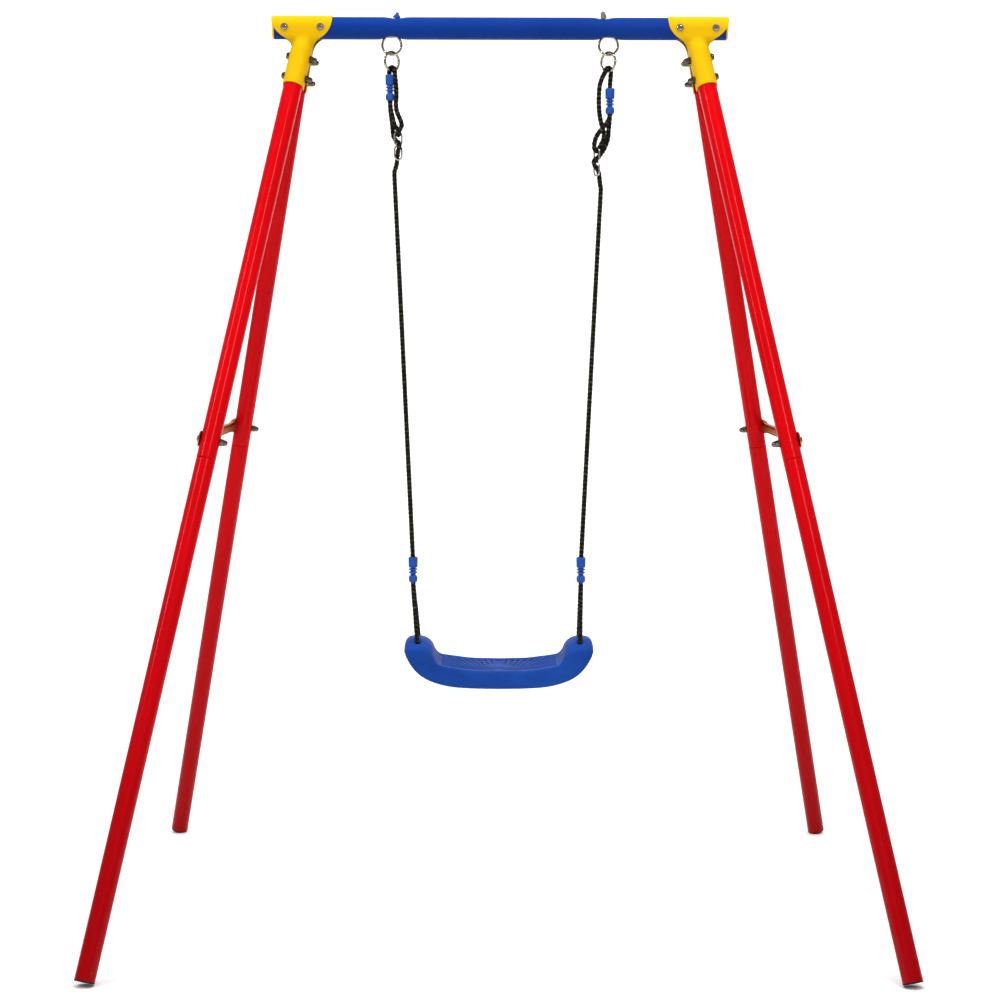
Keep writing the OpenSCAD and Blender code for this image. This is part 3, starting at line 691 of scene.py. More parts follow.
beam_heads, beam_washers, beam_nuts = Geo(), Geo(), Geo()
for s in (-1, 1):
    for x in (400, 480):
        y = BEAM_R + PLATE
        front, rear = np.array([s * x, -y, BEAM_Z]), np.array([s * x, y, BEAM_Z])
        ring_closed(beam_washers, front + [0, -0.15, 0], (0, -1, 0), 8.4)
        ring_closed(beam_washers, rear + [0, 0.15, 0], (0, 1, 0), 8.4)
        dome_head(beam_heads, front + [0, -1.75, 0], (0, -1, 0), 6.6, 4.6)
        shank(beam_heads, front + [0, -1.0, 0], (0, 1, 0), 2 * y + 9)
        acorn(beam_nuts, rear + [0, 1.75, 0], (0, 1, 0), ref=(0, 0, 1))
beam_heads.make("beam_bolt_set", "wire", "frame", ["beam_bolts"], 30)
beam_washers.make("beam_washer_set", "steel", "frame", ["beam_bolt_washers"], 30)
beam_nuts.make("beam_nut_set", "zinc", "frame", ["beam_bolt_nuts"], 30)

heads, washers, nuts = Geo(), Geo(), Geo()
sp_heads, sp_washers, sp_nuts = Geo(), Geo(), Geo()
WALL = LEG_R + 0.1 + PLATE
SP_AT, FLAT_T = 982.0, 3.4
for name, (sx, sy) in LEGS.items():
    o, ex, ey, d = leg(sx, sy)
    for s in (74.0, 122.5):
        c = o + d * s
        ring_closed(washers, c - ex * (WALL + 0.05), -ex)
        ring_closed(washers, c + ex * (WALL + 0.05), ex)
        dome_head(heads, c - ex * (WALL + 1.65), -ex, 7.4, 5.2)
        shank(heads, c - ex * (WALL + 1), ex, 2 * WALL + 10)
        acorn(nuts, c + ex * (WALL + 1.7), ex, ref=d)
    c = o + d * SP_AT
    dome_head(sp_heads, c - ex * (LEG_R + 0.05 + FLAT_T + 0.05), -ex, 7.4, 5.0)
    shank(sp_heads, c - ex * (LEG_R + FLAT_T - 0.5), ex, 2 * LEG_R + FLAT_T + 9)
    ring_closed(sp_washers, c + ex * (LEG_R + 0.1), ex, 8.4, 1.5)
    acorn(sp_nuts, c + ex * (LEG_R + 1.65), ex, ref=d)
heads.make("leg_bolt_set", "zinc", "frame", ["leg_bolts"], 30)
washers.make("leg_washer_set", "zinc", "frame", ["leg_bolt_washers"], 30)
nuts.make("leg_nut_set", "zinc", "frame", ["leg_bolt_nuts"], 30)
sp_heads.make("spreader_bolt_set", "gold", "frame", ["spreader_bolts"], 30)
sp_washers.make("spreader_washer_set", "zinc", "frame", ["spreader_bolt_washers"], 30)
sp_nuts.make("spreader_nut_set", "zinc", "frame", ["spreader_bolt_nuts"], 30)

# ------------------------------------------------------------------ spreaders: a round tube squeezed flat at both ends
def spreader(side, nm):
    slo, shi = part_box(f"spreader_{nm}")
    o, ex, ey, d = leg(side, -1)
    c = o + d * SP_AT - ex * (LEG_R + 0.05 + FLAT_T / 2)
    bend = 55 * math.sin(lean_y) * math.sin(lean_x)
    x_mid = c[0] - side * bend
    z_mid = c[2]
    ends = abs(c[1])
    ys = np.concatenate([np.linspace(-ends - 17, -ends - 9, 10), np.linspace(-ends - 8, -ends + 22, 12), np.linspace(-ends + 24, -ends + 72, 26),
                         np.linspace(-ends + 80, 0, 10)])
    ys = np.concatenate([ys, -ys[:-1][::-1]])
    n = 64
    a = np.linspace(0, 2 * np.pi, n, endpoint=False)
    rows = []
    for y in ys:
        q = ends - abs(y)             # distance inwards from the bolt
        w = float(smoothstep(20, 66, q))
        half_z = 17 * (1 - w) + 11 * w
        half_x = (FLAT_T / 2) * (1 - w) + 11 * w
        if q < 0:
            half_z = math.sqrt(max(17 ** 2 - q ** 2, 0.01))
            half_z = max(half_z, 1.2)
        p = 2 + 9 * (1 - w)
        cx = np.sign(np.cos(a)) * np.abs(np.cos(a)) ** (2 / p) * half_x
        cz = np.sign(np.sin(a)) * np.abs(np.sin(a)) ** (2 / (2 + 2 * (1 - w))) * half_z
        # the flat end leans with the leg and turns a little to face its bolt
        k = 1 if y < 0 else -1
        lean = lean_x * (1 - w) * side
        xx = cx * math.cos(lean) + cz * math.sin(lean) * -1 * 0 + cz * (-math.sin(lean) * -1) * 0
        nx = np.array([math.cos(lean_x), 0, -side * 0])
        ux, uz = math.cos(lean_x), math.sin(lean_x)
        X = cx * ux - side * 0
        dirx = np.array([ux * 1.0, 0, 0])
        # local axes: outward normal N = (side*cos, 0, sin), in-plane up U = (-side*sin, 0, cos)
        L = lean_x * (1 - w)
        N = np.array([side * math.cos(L), 0, math.sin(L)])
        U = np.array([-side * math.sin(L), 0, math.cos(L)])
        xc = x_mid + (c[0] - x_mid) * float(1 - smoothstep(0, 62, q)) if q > 0 else c[0] + side * (-q) * math.tan(math.radians(3.66))
        base = np.array([xc, y, z_mid])
        rows.append(base + cx[:, None] * N + cz[:, None] * U)
    rows = np.array(rows)
    g = Geo()
    g.grid(rows, close_v=True)
    g.f.append(tuple(range(n)))
    g.f.append(tuple((len(ys) - 1) * n + j for j in range(n)))
    g.make(f"spreader_{nm}_bar", "gold", "frame", [f"spreader_{nm}"], 40)


spreader(-1, "left")
spreader(1, "right")

# ------------------------------------------------------------------ eye bolts, nuts, rings
NUT_X = 231.0
TILT = math.atan2(EYE_X - NUT_X, 2000 - EYE_Z)


def circle(c, r, u, w, n=96):
    a = np.linspace(0, 2 * np.pi, n, endpoint=False)
    return np.array(c, float) + r * (np.cos(a)[:, None] * np.array(u, float) + np.sin(a)[:, None] * np.array(w, float))


def threaded(g, o, a, length, r=3.95, pitch=1.25, segs=32):
    """A screw thread as one closed skin."""
    o, a = np.array(o, float), np.array(a, float)
    x = np.cross(a, [0, 1, 0])
    x /= np.linalg.norm(x)
    y = np.cross(a, x)
    nz = int(length / pitch * 6)
    th = np.linspace(0, 2 * np.pi, segs, endpoint=False)
    rows = []
    for i in range(nz + 1):
        h = length * i / nz
        ph = (h / pitch - th / (2 * np.pi)) % 1
        rr = r - 0.55 * np.abs(2 * ph - 1) - (0.6 if i == nz else 0)
        rows.append(o + a * h + (np.cos(th)[:, None] * x + np.sin(th)[:, None] * y) * rr[:, None])
    base = g.n
    g.grid(np.array(rows), close_v=True)
    g.f.append(tuple(base + j for j in range(segs)))
    g.f.append(tuple(base + nz * segs + j for j in range(segs)))


NUT_AT = 61.9
eye_washers, eye_nuts, cover = Geo(), Geo(), Geo()
for s, nm in ((-1, "left"), (1, "right")):
    c = np.array([s * EYE_X, 0, EYE_Z])
    a = np.array([-s * math.sin(TILT), 0, math.cos(TILT)])
    side_ax = np.array([math.cos(TILT), 0, s * math.sin(TILT)])
    g = Geo().sweep(circle(c, EYE_R, (1, 0, 0), (0, 0, 1), 128), WIRE, 24, closed=True)
    g.lathe(rounded([(0, 0), (4.6, 0), (4.6, 3.5), (3.95, 5.0), (3.95, 40), (0, 40)], 0.8), c + a * (EYE_R + 0.5), a, 32)
    threaded(g, c + a * (EYE_R + 39.5), a, 12.6 if s < 0 else 3.0)
    g.make(f"eye_bolt_{nm}_body", "wire", "frame", [f"eye_bolt_{nm}"], 40)
    # flat washer under the nut
    n, rr = 64, [4.2, 7.6]
    ring_closed(eye_washers, c + a * (NUT_AT - 1.7), a, 7.6, 1.6, 4.15)
    if s < 0:
        hex_body(eye_nuts, c + a * NUT_AT, a, 10.0, 4.0)
        cover.lathe([(3.98, 4.3), (6.1, 4.2), (7.7, -1.4), (9.0, -1.6), (9.2, -1.2), (8.9, 0.4), (6.6, 4.6), (5.4, 6.0), (4.6, 6.5), (3.98, 6.5)],
                    c + a * NUT_AT, a, 64, closed=True)
    else:
        acorn(eye_nuts, c + a * NUT_AT, a)
eye_washers.make("eye_bolt_washer_set", "steel", "frame", ["eye_bolt_washers"], 30)
eye_nuts.make("eye_bolt_nut_set", "steel", "frame", ["eye_bolt_nuts"], 30)
cover.make("eye_bolt_cover", "cover", "frame", ["eye_bolt_nut_cover"], 40)

for s, nm in ((-1, "left"), (1, "right")):
    rlo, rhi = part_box(f"hanging_ring_{nm}")
    c = np.array(((rlo + rhi) / 2)) * 1000
    yaw = math.radians(-s * 46)
    g = Geo().sweep(circle(c, EYE_R, (math.cos(yaw), math.sin(yaw), 0), (0, 0, 1), 128), WIRE, 24, closed=True)
    # weld bead
    w = c + EYE_R * np.array([math.cos(yaw), math.sin(yaw), 0])
    g.lathe([(0, -2.6), (3.1, -2.2), (3.45, -1.0), (3.5, 0), (3.45, 1.0), (3.1, 2.2), (0, 2.6)], w, (0, 0, 1), 24)
    g.make(f"hanging_ring_{nm}_link", "wire", "ropes", [f"hanging_ring_{nm}"], 40)

# ------------------------------------------------------------------ ropes
ROUTE = {
    "left": [[-246, -5.5, 1860], [-246, -5.5, 1838], [-246, -5.5, 1812], [-244, -6.5, 1794], [-240, -7.5, 1777], [-236.5, -8.6, 1763],
             [-231, -9, 1753], [-226.2, -7.6, 1747], [-226.2, -4.9, 1741.2], [-228, 0, 1738.6], [-229.8, 4.9, 1741], [-229.2, 8.2, 1746.5],
             [-225, 10.5, 1752], [-221, 9, 1759], [-221.5, 4, 1768], [-226, -2, 1779], [-231, -8, 1792], [-232.5, -13, 1805],
             [-231.5, -16, 1820], [-231.5, -16, 1836], [-232.5, -13, 1852], [-234.2, -9.3, 1866], [-235.7, -6.05, 1880.5], [-237.6, -4.27, 1886.7],
             [-242, 0, 1889.25], [-246.4, 4.27, 1886.7], [-248.2, 6.05, 1880.5], [-247.6, 6.2, 1872], [-246, 5.5, 1856], [-246, 5.5, 1830],
             [-246, 5.5, 1812], [-245.5, 6.5, 1794], [-243.5, 8.5, 1777], [-241.5, 10.5, 1761], [-240.5, 10.8, 1747], [-238.5, 8.8, 1735.5],
             [-233.5, 5.5, 1727.5], [-228, 0, 1723], [-226.1, -4.9, 1720.3], [-225.3, -7.3, 1715], [-226.1, -5, 1709.2], [-228, 0, 1704],
             [-229.8, 5, 1692.5], [-230.5, 7, 1685], [-231.8, 6.3, 1675], [-234.5, 3, 1663], [-236.5, 0, 1650]],
    "right": [[246, -5.5, 1832], [246, -5.5, 1808], [246, -5.5, 1784], [242, -8.5, 1771], [233.5, -11, 1759], [224, -12, 1748],
             [216.5, -11.5, 1737], [212.5, -9.5, 1726], [211.2, -6.5, 1716], [212.8, -3.6, 1706.5], [217, 0, 1703.6], [221, 3.4, 1706],
             [223.4, 5.4, 1712], [227.5, 8, 1720], [232, 9.2, 1730], [233.4, 8, 1741], [231, 4.5, 1753], [227, 1, 1766],
             [223.5, -2, 1782], [221.5, -5, 1800], [221, -8, 1825], [223, -9.5, 1850], [229, -8.6, 1868], [235.7, -6.05, 1880.5],
             [237.6, -4.27, 1886.7], [242, 0, 1889.25], [246.4, 4.27, 1886.7], [248.2, 6.05, 1880.5], [247.5, 6.2, 1868], [246, 5.8, 1842],
             [246, 5.5, 1808], [246, 5.5, 1785], [245.5, 8, 1770], [244, 12, 1752], [243.2, 15.5, 1738], [240.2, 15.5, 1724.5],
             [234, 12.5, 1710], [226.5, 8, 1698.5], [221, 3.6, 1691], [217, 0, 1687.4], [212.6, -3.8, 1684.5], [210.6, -5.4, 1678],
             [212.6, -3.8, 1671.6], [217, 0, 1667], [221.2, 3.6, 1659], [223, 5, 1651], [224, 4.2, 1641], [225.2, 2, 1629],
             [226.5, 0, 1615]],
}
LOWER = {"left": 195.0, "right": 186.0}


def bridle_points(x):
    h = [[x, -5.5, 762], [x, -5.5, 745], [x, -6.5, 730], [183 + 0.81 * (x - 183), -16, 700], [183 + 0.5 * (x - 183), -28, 660],
         [183 + 0.19 * (x - 183), -42, 615], [183, -49, 590], [183, -50, 572], [183, -48, 558], [183, -40, 550], [183, -25, 547]]
    return h + [[183, 0, 546.5]] + [[a, -b, c] for a, b, c in reversed(h)]


def resample(p, step):
    s = np.r_[0, np.cumsum(np.linalg.norm(np.diff(p, axis=0), axis=1))]
    n = max(2, int(round(s[-1] / step)) + 1)
    q = np.linspace(0, s[-1], n)
    return np.stack([np.interp(q, s, p[:, k]) for k in range(3)], 1), q


def smooth_path(p, n=3):
    for _ in range(n):
        p[1:-1] = (p[:-2] + 2 * p[1:-1] + p[2:]) / 4
    return p


def rope(name, points, body, nodes, d=10.0, step=0.95, segs=36, seed=1):
    path = catmull(points, 24)
    path, s = resample(path, step)
    path = smooth_path(path, 2)
    t = np.gradient(path, axis=0)
    t /= np.linalg.norm(t, axis=1)[:, None]
    u = transport(t)
    w = np.cross(t, u)
    th = np.linspace(0, 2 * np.pi, segs, endpoint=False)
    # four-strand round braid: two pairs of strands wind opposite ways and pass over and under each other
    N, lay = 2, 19.0
    wob = np.interp(s, np.linspace(0, s[-1], 40), np.random.default_rng(seed).normal(0, 0.12, 40))
    TH, S = np.meshgrid(th, s)
    W = np.repeat(wob[:, None], segs, 1)
    a = N * TH / (2 * np.pi) + N * S / lay + W
    b = N * TH / (2 * np.pi) - N * S / lay - W
    fa, fb = np.abs(2 * (a % 1) - 1), np.abs(2 * (b % 1) - 1)
    swap = 0.30 * np.cos(np.pi * (a + b)) 
    A = np.sqrt(np.clip(1 - fa ** 2, 0, 1)) * (0.70 + swap)
    B = np.sqrt(np.clip(1 - fb ** 2, 0, 1)) * (0.70 - swap)
    hgt = np.maximum(A, B)
    ia, ib = np.floor(a).astype(int) % N, np.floor(b).astype(int) % N
    fleck = np.where((A > B) & (ia == 0) & (np.abs((a % 1) - 0.5) < 0.15), 1.0, 0.0)
    fleck += np.where((B > A) & (ib == 1) & (np.abs((b % 1) - 0.45) < 0.15), 1.0, 0.0)
    fleck += np.where((A > B) & (ia == 1) & (np.abs((a % 1) - 0.62) < 0.09), 0.6, 0.0)
    fleck += np.where((B > A) & (ib == 0) & (np.abs((b % 1) - 0.62) < 0.09), 0.6, 0.0)
    r = d / 2 - 1.15 + 1.75 * hgt
    slow = np.interp(s, np.linspace(0, s[-1], 60), np.random.default_rng(seed + 9).normal(0, 0.10, 60))
    r = r + slow[:, None]
    fade = np.clip(np.minimum(s, s[-1] - s) / 1.5, 0.55, 1)
    r = r * fade[:, None]
    pts = path[:, None] + r[..., None] * (np.cos(TH)[..., None] * u[:, None] + np.sin(TH)[..., None] * w[:, None])
    g = Geo()
    g.grid(pts, close_v=True)
    g.f.append(tuple(range(segs)))
    g.f.append(tuple((len(path) - 1) * segs + j for j in range(segs)))
    o = g.make(name, "rope", body, nodes, 0)
    me = o.data
    # crown is the strand height that the rope material darkens as painted shade between strands; fleck marks the olive
    # strands
    for label, values in (("crown", hgt), ("fleck", fleck)):
        me.attributes.new(label, "FLOAT", "POINT").data.foreach_set("value", values.astype(np.float32).ravel())
    # UV: u runs round and v along, in rope diameters
    uv = me.uv_layers.new(name="UVMap")
    idx = np.zeros(len(me.loops), int)
    me.loops.foreach_get("vertex_index", idx)
    ring, col = idx // segs, idx % segs
    U, V = col / segs, s[np.clip(ring, 0, len(s) - 1)] / d
    # close the seam per face
    ls = np.zeros(len(me.polygons), int)
    lt = np.zeros(len(me.polygons), int)
    me.polygons.foreach_get("loop_start", ls)
    me.polygons.foreach_get("loop_total", lt)
    quad = lt == 4
    q = ls[quad][:, None] + np.arange(4)
    uu = U[q]
    wrap = (uu.max(1) - uu.min(1)) > 0.5
    uu[wrap] = np.where(uu[wrap] < 0.5, uu[wrap] + 1, uu[wrap])
    U[q] = uu
    uv.data.foreach_set("uv", np.stack([U, V], 1).ravel())
    return o


for nm, s in (("left", -1), ("right", 1)):
    top = np.array(ROUTE[nm][-1], float)
    foot = np.array([s * LOWER[nm], 0, 778.0])
    straight = [top + (foot - top) * k / 12 for k in range(1, 13)]
    rope(f"rope_{nm}", np.concatenate([np.array(ROUTE[nm], float), np.array(straight)]), "ropes",
         [f"rope_loop_{nm}", f"main_rope_{nm}"], seed=3 + s)
    rope(f"bridle_{nm}", np.array(bridle_points(LOWER[nm]), float) * [s, 1, 1], "seat", [f"seat_bridle_{nm}"], seed=11 + s)


# ------------------------------------------------------------------ adjusters and clamps
def adjuster(nm, s, x, z, turn):
    yaw = math.radians(-s * turn)
    u = np.array([math.cos(yaw), math.sin(yaw), 0])
    g = Geo()
    for k in (-1, 1):
        c = np.array([s * x, 0, z + k * 15.5])
        a = np.linspace(0, math.pi, 40)
        top = [c + u * 8.5 * math.cos(t) + np.array([0, 0, 7 + 8.5 * math.sin(t)]) for t in a]
        bot = [c - u * 8.5 * math.cos(t) - np.array([0, 0, 7 + 8.5 * math.sin(t)]) for t in a]
        g.sweep(np.array(top + bot), 1.9, 18, closed=True)
    # weld where the two eyes meet
    g.lathe([(0, -3.4), (1.6, -3.0), (2.3, -1.2), (2.4, 0), (2.3, 1.2), (1.6, 3.0), (0, 3.4)], (s * x, 0, z), u, 20)
    g.make(f"rope_adjuster_{nm}_wire", "steel", "ropes", [f"rope_adjuster_{nm}"], 40)


adjuster("left", -1, 228, 1715, 20)
adjuster("right", 1, 217, 1680, 50)


def clamp(name, x, z0, body, node, deep=True):
    """Oval moulded clamp: (height, half width across, extra half depth)."""
    prof = [(0.0, 6.6), (0.5, 7.8), (2.0, 9.2), (5.0, 10.0), (8.0, 10.2), (11.5, 9.9), (14.2, 8.9), (15.3, 7.6), (15.8, 6.2), (20.6, 6.2),
            (20.9, 7.6), (21.2, 9.2), (22.0, 9.8), (23.2, 9.8), (23.9, 9.2), (24.1, 7.6), (24.4, 6.2), (27.7, 6.2), (27.9, 7.6), (28.2, 9.3),
            (29.0, 9.9), (30.2, 9.9), (30.9, 9.3), (31.1, 7.6), (31.4, 6.2), (33.7, 6.2), (34.0, 7.6), (34.3, 9.5), (35.2, 10.2), (38.0, 10.4),
            (54.6, 10.7), (56.2, 10.5), (57.0, 9.7)]
    zz = [p[0] for p in prof]
    h = np.unique(np.concatenate([np.linspace(0, 57, 60), zz]))
    rx = np.interp(h, zz, [p[1] for p in prof])
    n = 72
    a = np.linspace(0, 2 * np.pi, n, endpoint=False)

    def oval(r, y, z):
        c, s = np.cos(a), np.sin(a)
        return np.stack([x + r * c, r * s + y * np.tanh(3.2 * s) / math.tanh(3.2), np.full(n, z0 + z)], 1)
    out = [oval(r, 4.9, z) for r, z in zip(rx, h)]
    # the mouth at each end is rounded and the rope's slot goes in a few millimetres
    inner = [oval(rx[-1] - 1.2, 5.2, 57.2), oval(6.9, 5.5, 56.9), oval(6.3, 5.5, 54.5), oval(5.6, 5.4, 50)]
    if not deep:
        # the rope's round end turns in a ball socket, so the mouth flares along Y
        inner = [oval(rx[-1] - 1.2, 5.2, 57.2), oval(8.3, 2.6, 56.9), oval(7.3, 1.9, 55.2), oval(6.4, 1.5, 52.0), oval(6.0, 0.7, 49.5),
                 oval(6.0, 0.2, 47.5), oval(5.7, 0.1, 45.4), oval(4.9, 0.0, 43.6), oval(3.2, 0.0, 42.3)]
    low = [oval(5.7, 5.4, 6), oval(5.8, 5.5, 0.6)]
    rows = np.array(low + out + inner)
    g = Geo()
    g.grid(rows, close_v=True)
    g.f.append(tuple(range(n)))
    g.f.append(tuple((len(rows) - 1) * n + j for j in range(n)))
    g.make(name, "clamp", body, [node], 40)


clamp("upper_clamp_left_body", -246, 1815, "ropes", "upper_clamp_left")
clamp("upper_clamp_right_body", 246, 1786, "ropes", "upper_clamp_right")
clamp("lower_clamp_left_body", -LOWER["left"], 732, "seat", "lower_clamp_left", False)
clamp("lower_clamp_right_body", LOWER["right"], 732, "seat", "lower_clamp_right", False)

# ------------------------------------------------------------------ seat
def seat():
    nx = 380
    u = np.linspace(-1, 1, nx)
    # stations gather at the rounded ends
    X = np.sign(u) * (np.abs(u) * 0.86 + 0.14 * np.sin(np.abs(u) * math.pi / 2)) 
    X = X / X.max() * 213.6
    ax = np.abs(X)
    C = lambda pts, k=10: catmull([[p[0], 0, p[1]] for p in pts], k)

    def curve(pts):
        c = C(pts)
        return np.interp(ax, c[:, 0], c[:, 2])
    crest = curve([[0, 544], [45, 545], [90, 548.5], [126, 554.5], [136, 560], [143, 573], [151, 591], [162, 602], [176, 607.4], [190, 608], [202, 606.4], [208.5, 602], [212, 596.5], [213.6, 590]])
    edge_f = curve([[0, 538.5], [60, 540], [100, 545], [128, 550.5], [138, 556], [147, 567], [156, 578], [172, 585.5], [190, 587.5], [203, 586.5], [210, 583.5], [213.6, 580]])
    edge_r = curve([[0, 546], [60, 547.5], [100, 552], [128, 556], [138, 560], [147, 569], [156, 579.5], [172, 587], [190, 589], [203, 588], [210, 584.5], [213.6, 581]])
    bottom = curve([[0, 498], [60, 499], [110, 503], [150, 513.5], [178, 528.5], [197, 548], [208, 566], [212.6, 578], [213.6, 583.5]])
    half = np.interp(ax, [0, 120, 165, 190, 203, 210, 213.6], [84.6, 84.6, 83.5, 79.5, 73, 64, 50])
    ntop, nside, nbot, nc = 150, 12, 60, 9
    rows, grooves = [], []
    for i, x in enumerate(X):
        hy = half[i]
        zf, zr, zc, zb = edge_f[i], edge_r[i], crest[i], min(bottom[i], edge_f[i] - 1.0)
        # top, front to rear
        y = np.linspace(-1, 1, ntop)
        base = zf + (zr - zf) * (y + 1) / 2
        lug = smoothstep(132, 152, ax[i])
        crown = (1 - np.abs(y) ** 2.6) * (zc - (zf + zr) / 2)
        dish = -3.2 * (1 - y ** 2) * (1 - lug) + 0
        z = base + crown * lug + dish + (1 - lug) * (zc - (zf + zr) / 2) * 0.0
        yy = y * hy
        # rounded front and rear ridges along the tread
        ridge = (1 - lug) * (np.exp(-((yy + hy - 7) / 5.0) ** 2) * 1.6 + np.exp(-((yy - hy + 7) / 5.0) ** 2) * 1.6)
        z = z + ridge
        # roll over the edge
        roll = 4.0
        q = np.clip((np.abs(yy) - (hy - roll)) / roll, 0, 1)
        z = z - roll * (1 - np.sqrt(np.clip(1 - q ** 2, 0, 1))) * 0.9
        # tread: fan ribs in a sunk panel, plain oval in the middle, comb along the front
        panel = smoothstep(130.5, 128.5, ax[i]) * (1 - smoothstep(55, 57, -yy)) * (1 - smoothstep(66, 68, yy))
        z = z - 1.0 * panel
        oval = 1 - smoothstep(0.92, 1.0, (x / 34.0) ** 2 + ((yy - 6) / 24.0) ** 2)
        ang = np.degrees(np.arctan2(ax[i], yy + 118.0))
        fan = np.abs(((ang + 1.1) / 4.4) % 1 * 2 - 1)
        rib = smoothstep(0.38, 0.62, fan) * panel * (1 - oval) * smoothstep(7, 10, ax[i]) * smoothstep(46, 43, -yy)
        z = z + 1.15 * rib + 0.9 * oval * panel
        comb = smoothstep(0.42, 0.6, np.abs((ax[i] / 4.2) % 1 * 2 - 1)) * smoothstep(52.5, 51.5, -yy) * smoothstep(46.5, 47.5, -yy) * panel
        z = z + 0.9 * comb
        mark = panel * (1 - rib) * smoothstep(7, 10, ax[i]) * (1 - oval) * smoothstep(46, 43, -yy) * smoothstep(68, 64, yy)
        mark = mark + panel * (1 - comb) * smoothstep(52.5, 51.5, -yy) * smoothstep(46.5, 47.5, -yy) * 0.0
        mark = mark + panel * np.clip(smoothstep(52.5, 51.5, -yy) * smoothstep(46.5, 47.5, -yy) * (1 - comb), 0, 1)
        border = np.exp(-((ax[i] - 129.5) / 1.1) ** 2) * smoothstep(56, 54, -yy) * smoothstep(67, 65, yy)
        border = border + np.exp(-((yy + 55.5) / 1.0) ** 2) * smoothstep(131, 129, ax[i]) + np.exp(-((yy - 66.5) / 1.0) ** 2) * smoothstep(131, 129, ax[i])
        ring = np.exp(-((np.sqrt((x / 34.0) ** 2 + ((yy - 6) / 24.0) ** 2) - 1.0) / 0.045) ** 2) * panel
        # the tread's groove lines as a mask; the seat material darkens them as painted shade
        groove = np.clip(mark + border + ring, 0, 1)
        # rope holes
        for hx in (183.0,):
            for hyy in (-50.0, 50.0):
                dd = np.hypot(ax[i] - hx, yy - hyy)
                z = z - 16.0 * smoothstep(7.4, 5.6, dd) - 1.6 * smoothstep(13.0, 7.0, dd)
        top = np.stack([np.full(ntop, x), yy, z], 1)
        grooves.append(groove)
        # rear side, down
        t = np.linspace(0, 1, nside + 2)[1:-1]
        zt_r, zt_f = z[-1], z[0]
        rb = min(13.0, max((zt_f - zb) * 0.48, 0.3), hy * 0.5)
        belly = 1.6 * np.sin(np.pi * t) * smoothstep(0, 25, zt_r - zb)
        rear = np.stack([np.full(nside, x), hy + belly, zt_r + (zb + rb - zt_r) * t], 1)
        cor = np.linspace(0, math.pi / 2, nc)
        rc = np.stack([np.full(nc, x), hy - rb + rb * np.cos(cor), zb + rb - rb * np.sin(cor)], 1)
        yb = np.linspace(hy - rb, -(hy - rb), nbot)[1:-1]
        zbot = np.full(len(yb), zb) + 0.0
        # shallow keel and the groove that holds the rope under each lug
        hollow = 3.0 * (1 - (yb / (hy - rb)) ** 2) * smoothstep(175, 120, ax[i])
        gr = smoothstep(8.4, 6.6, abs(ax[i] - 183.0)) * smoothstep(60, 56.5, np.abs(yb))
        zbot = zbot + hollow + gr * np.maximum(552.5 - zbot, 0)
        bt = np.stack([np.full(len(yb), x), yb, zbot], 1)
        fc = np.stack([np.full(nc, x), -(hy - rb) - rb * np.sin(cor), zb + rb - rb * np.cos(cor)], 1)
        belly = 1.6 * np.sin(np.pi * t[::-1]) * smoothstep(0, 25, zt_f - zb)
        front = np.stack([np.full(nside, x), -hy - belly, (zb + rb) + (zt_f - zb - rb) * t], 1)
        rows.append(np.concatenate([top, rear, rc, bt, fc, front]))
    rows = np.array(rows)
    g = Geo()
    m = rows.shape[1]
    g.grid(rows, close_v=True)
    # domed end caps
    for end, i in ((0, 0), (1, len(X) - 1)):
        s = -1 if end == 0 else 1
        loop = rows[i]
        ctr = loop.mean(0)
        prev = i * m
        for k, (f, dx) in enumerate(((0.93, 0.5), (0.80, 1.1), (0.55, 1.5), (0.25, 1.7))):
            ring = ctr + (loop - ctr) * f + np.array([s * dx * 0.35, 0, 0])
            base = g.n
            g.add(ring, [])
            for j in range(m):
                q = (j + 1) % m
                g.f.append((prev + j, prev + q, base + q, base + j))
            prev = base
        base = g.n
        g.add([ctr + np.array([s * 0.6, 0, 0])], [])
        for j in range(m):
            g.f.append((prev + j, prev + (j + 1) % m, base))
    o = g.make("seat_moulding", "seat", "seat", ["seat"], 0)
    # the groove mask on the top rows becomes the attribute that drives the painted groove shade
    vals = np.zeros(len(o.data.vertices), np.float32)
    first = np.arange(len(X))[:, None] * m + np.arange(ntop)
    vals[first] = np.array(grooves)
    o.data.attributes.new("groove", "FLOAT", "POINT").data.foreach_set("value", vals)
    return o


seat()

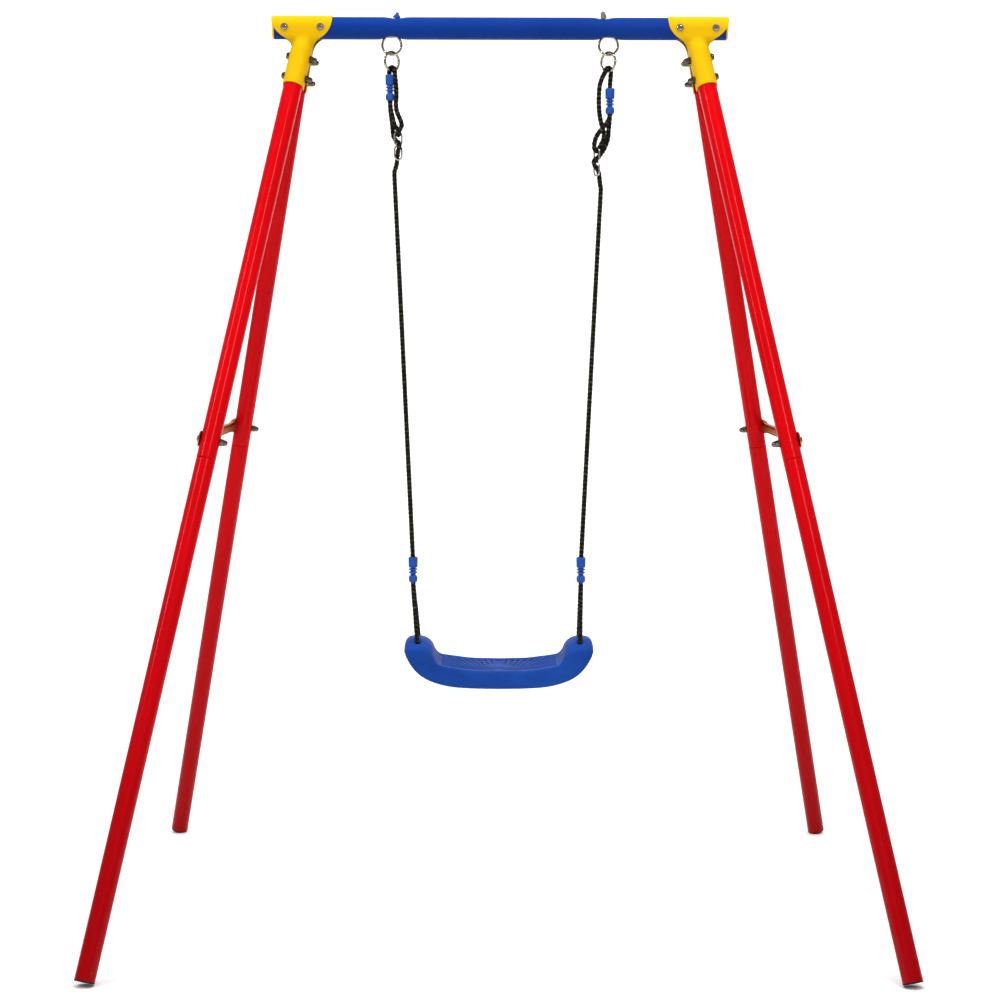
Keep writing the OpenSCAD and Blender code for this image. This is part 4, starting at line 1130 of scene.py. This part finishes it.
# ------------------------------------------------------------------ stage and light
def stage():
    m = Mat("studio_floor")
    n = m.noise(1.5, 3, 0.5)
    m.color(m.ramp(n, [(0.3, (0.90, 0.90, 0.90, 1)), (0.7, (0.93, 0.93, 0.93, 1))]))
    m.rough(m.remap(m.noise(40, 3), 0.3, 0.7, 0.75, 0.9))
    # the sweep is clear from outside, so a view from behind isn't blocked by it
    geo = m.t.nodes.new("ShaderNodeNewGeometry")
    m.link(geo.outputs["Backfacing"], m.b.inputs["Alpha"])
    ys = list(np.linspace(-7000, 5000, 10)) + [5000 + 2500 * math.sin(a) for a in np.linspace(0.08, math.pi / 2, 16)] 
    zs = [-0.2] * 10 + [2500 - 2500 * math.cos(a) - 0.2 for a in np.linspace(0.08, math.pi / 2, 16)]
    ys.append(7500), zs.append(9000)
    rows = [[(x, y, z) for x in np.linspace(-24000, 24000, 25)] for y, z in zip(ys, zs)]
    g = Geo().grid(np.array(rows))
    v = np.concatenate(g.v) / 1000
    me = bpy.data.meshes.new("studio_sweep")
    me.from_pydata(v.tolist(), [], g.f)
    for p in me.polygons:
        p.use_smooth = True
    me.materials.append(m.m)
    o = bpy.data.objects.new("studio_sweep", me)
    scene.collection.objects.link(o)


stage()


def area(name, loc, target, size, power, glossy=True, color=(1, 1, 1)):
    d = bpy.data.lights.new(name, "AREA")
    d.shape = "RECTANGLE"
    d.size, d.size_y = size
    d.energy = power
    d.color = color
    o = bpy.data.objects.new(name, d)
    o.visible_glossy = glossy
    o.location = loc
    o.rotation_euler = (Vector(target) - Vector(loc)).to_track_quat("-Z", "Y").to_euler()
    scene.collection.objects.link(o)


area("strip_right", (1.5, -3.9, 4.2), (0.2, -0.4, 1.1), (0.08, 1.9), 62)
area("strip_left", (-4.0, -2.4, 3.9), (-0.2, -0.4, 1.1), (0.08, 1.9), 62)
area("front_soft", (0, -6.5, 2.6), (0, 0, 1.2), (3.2, 2.4), 46, False)
area("top_soft", (0, -0.8, 4.8), (0, -0.5, 0), (5.0, 4.0), 215, False)
area("wall_wash", (0, 2.6, 5.6), (0, 7.4, 2.6), (9.0, 1.2), 420)

world = bpy.data.worlds.new("studio")
world.use_nodes = True
bg = next(n for n in world.node_tree.nodes if n.type == "BACKGROUND")
bg.inputs["Color"].default_value = (1, 1, 1, 1)
bg.inputs["Strength"].default_value = 0.35
scene.world = world
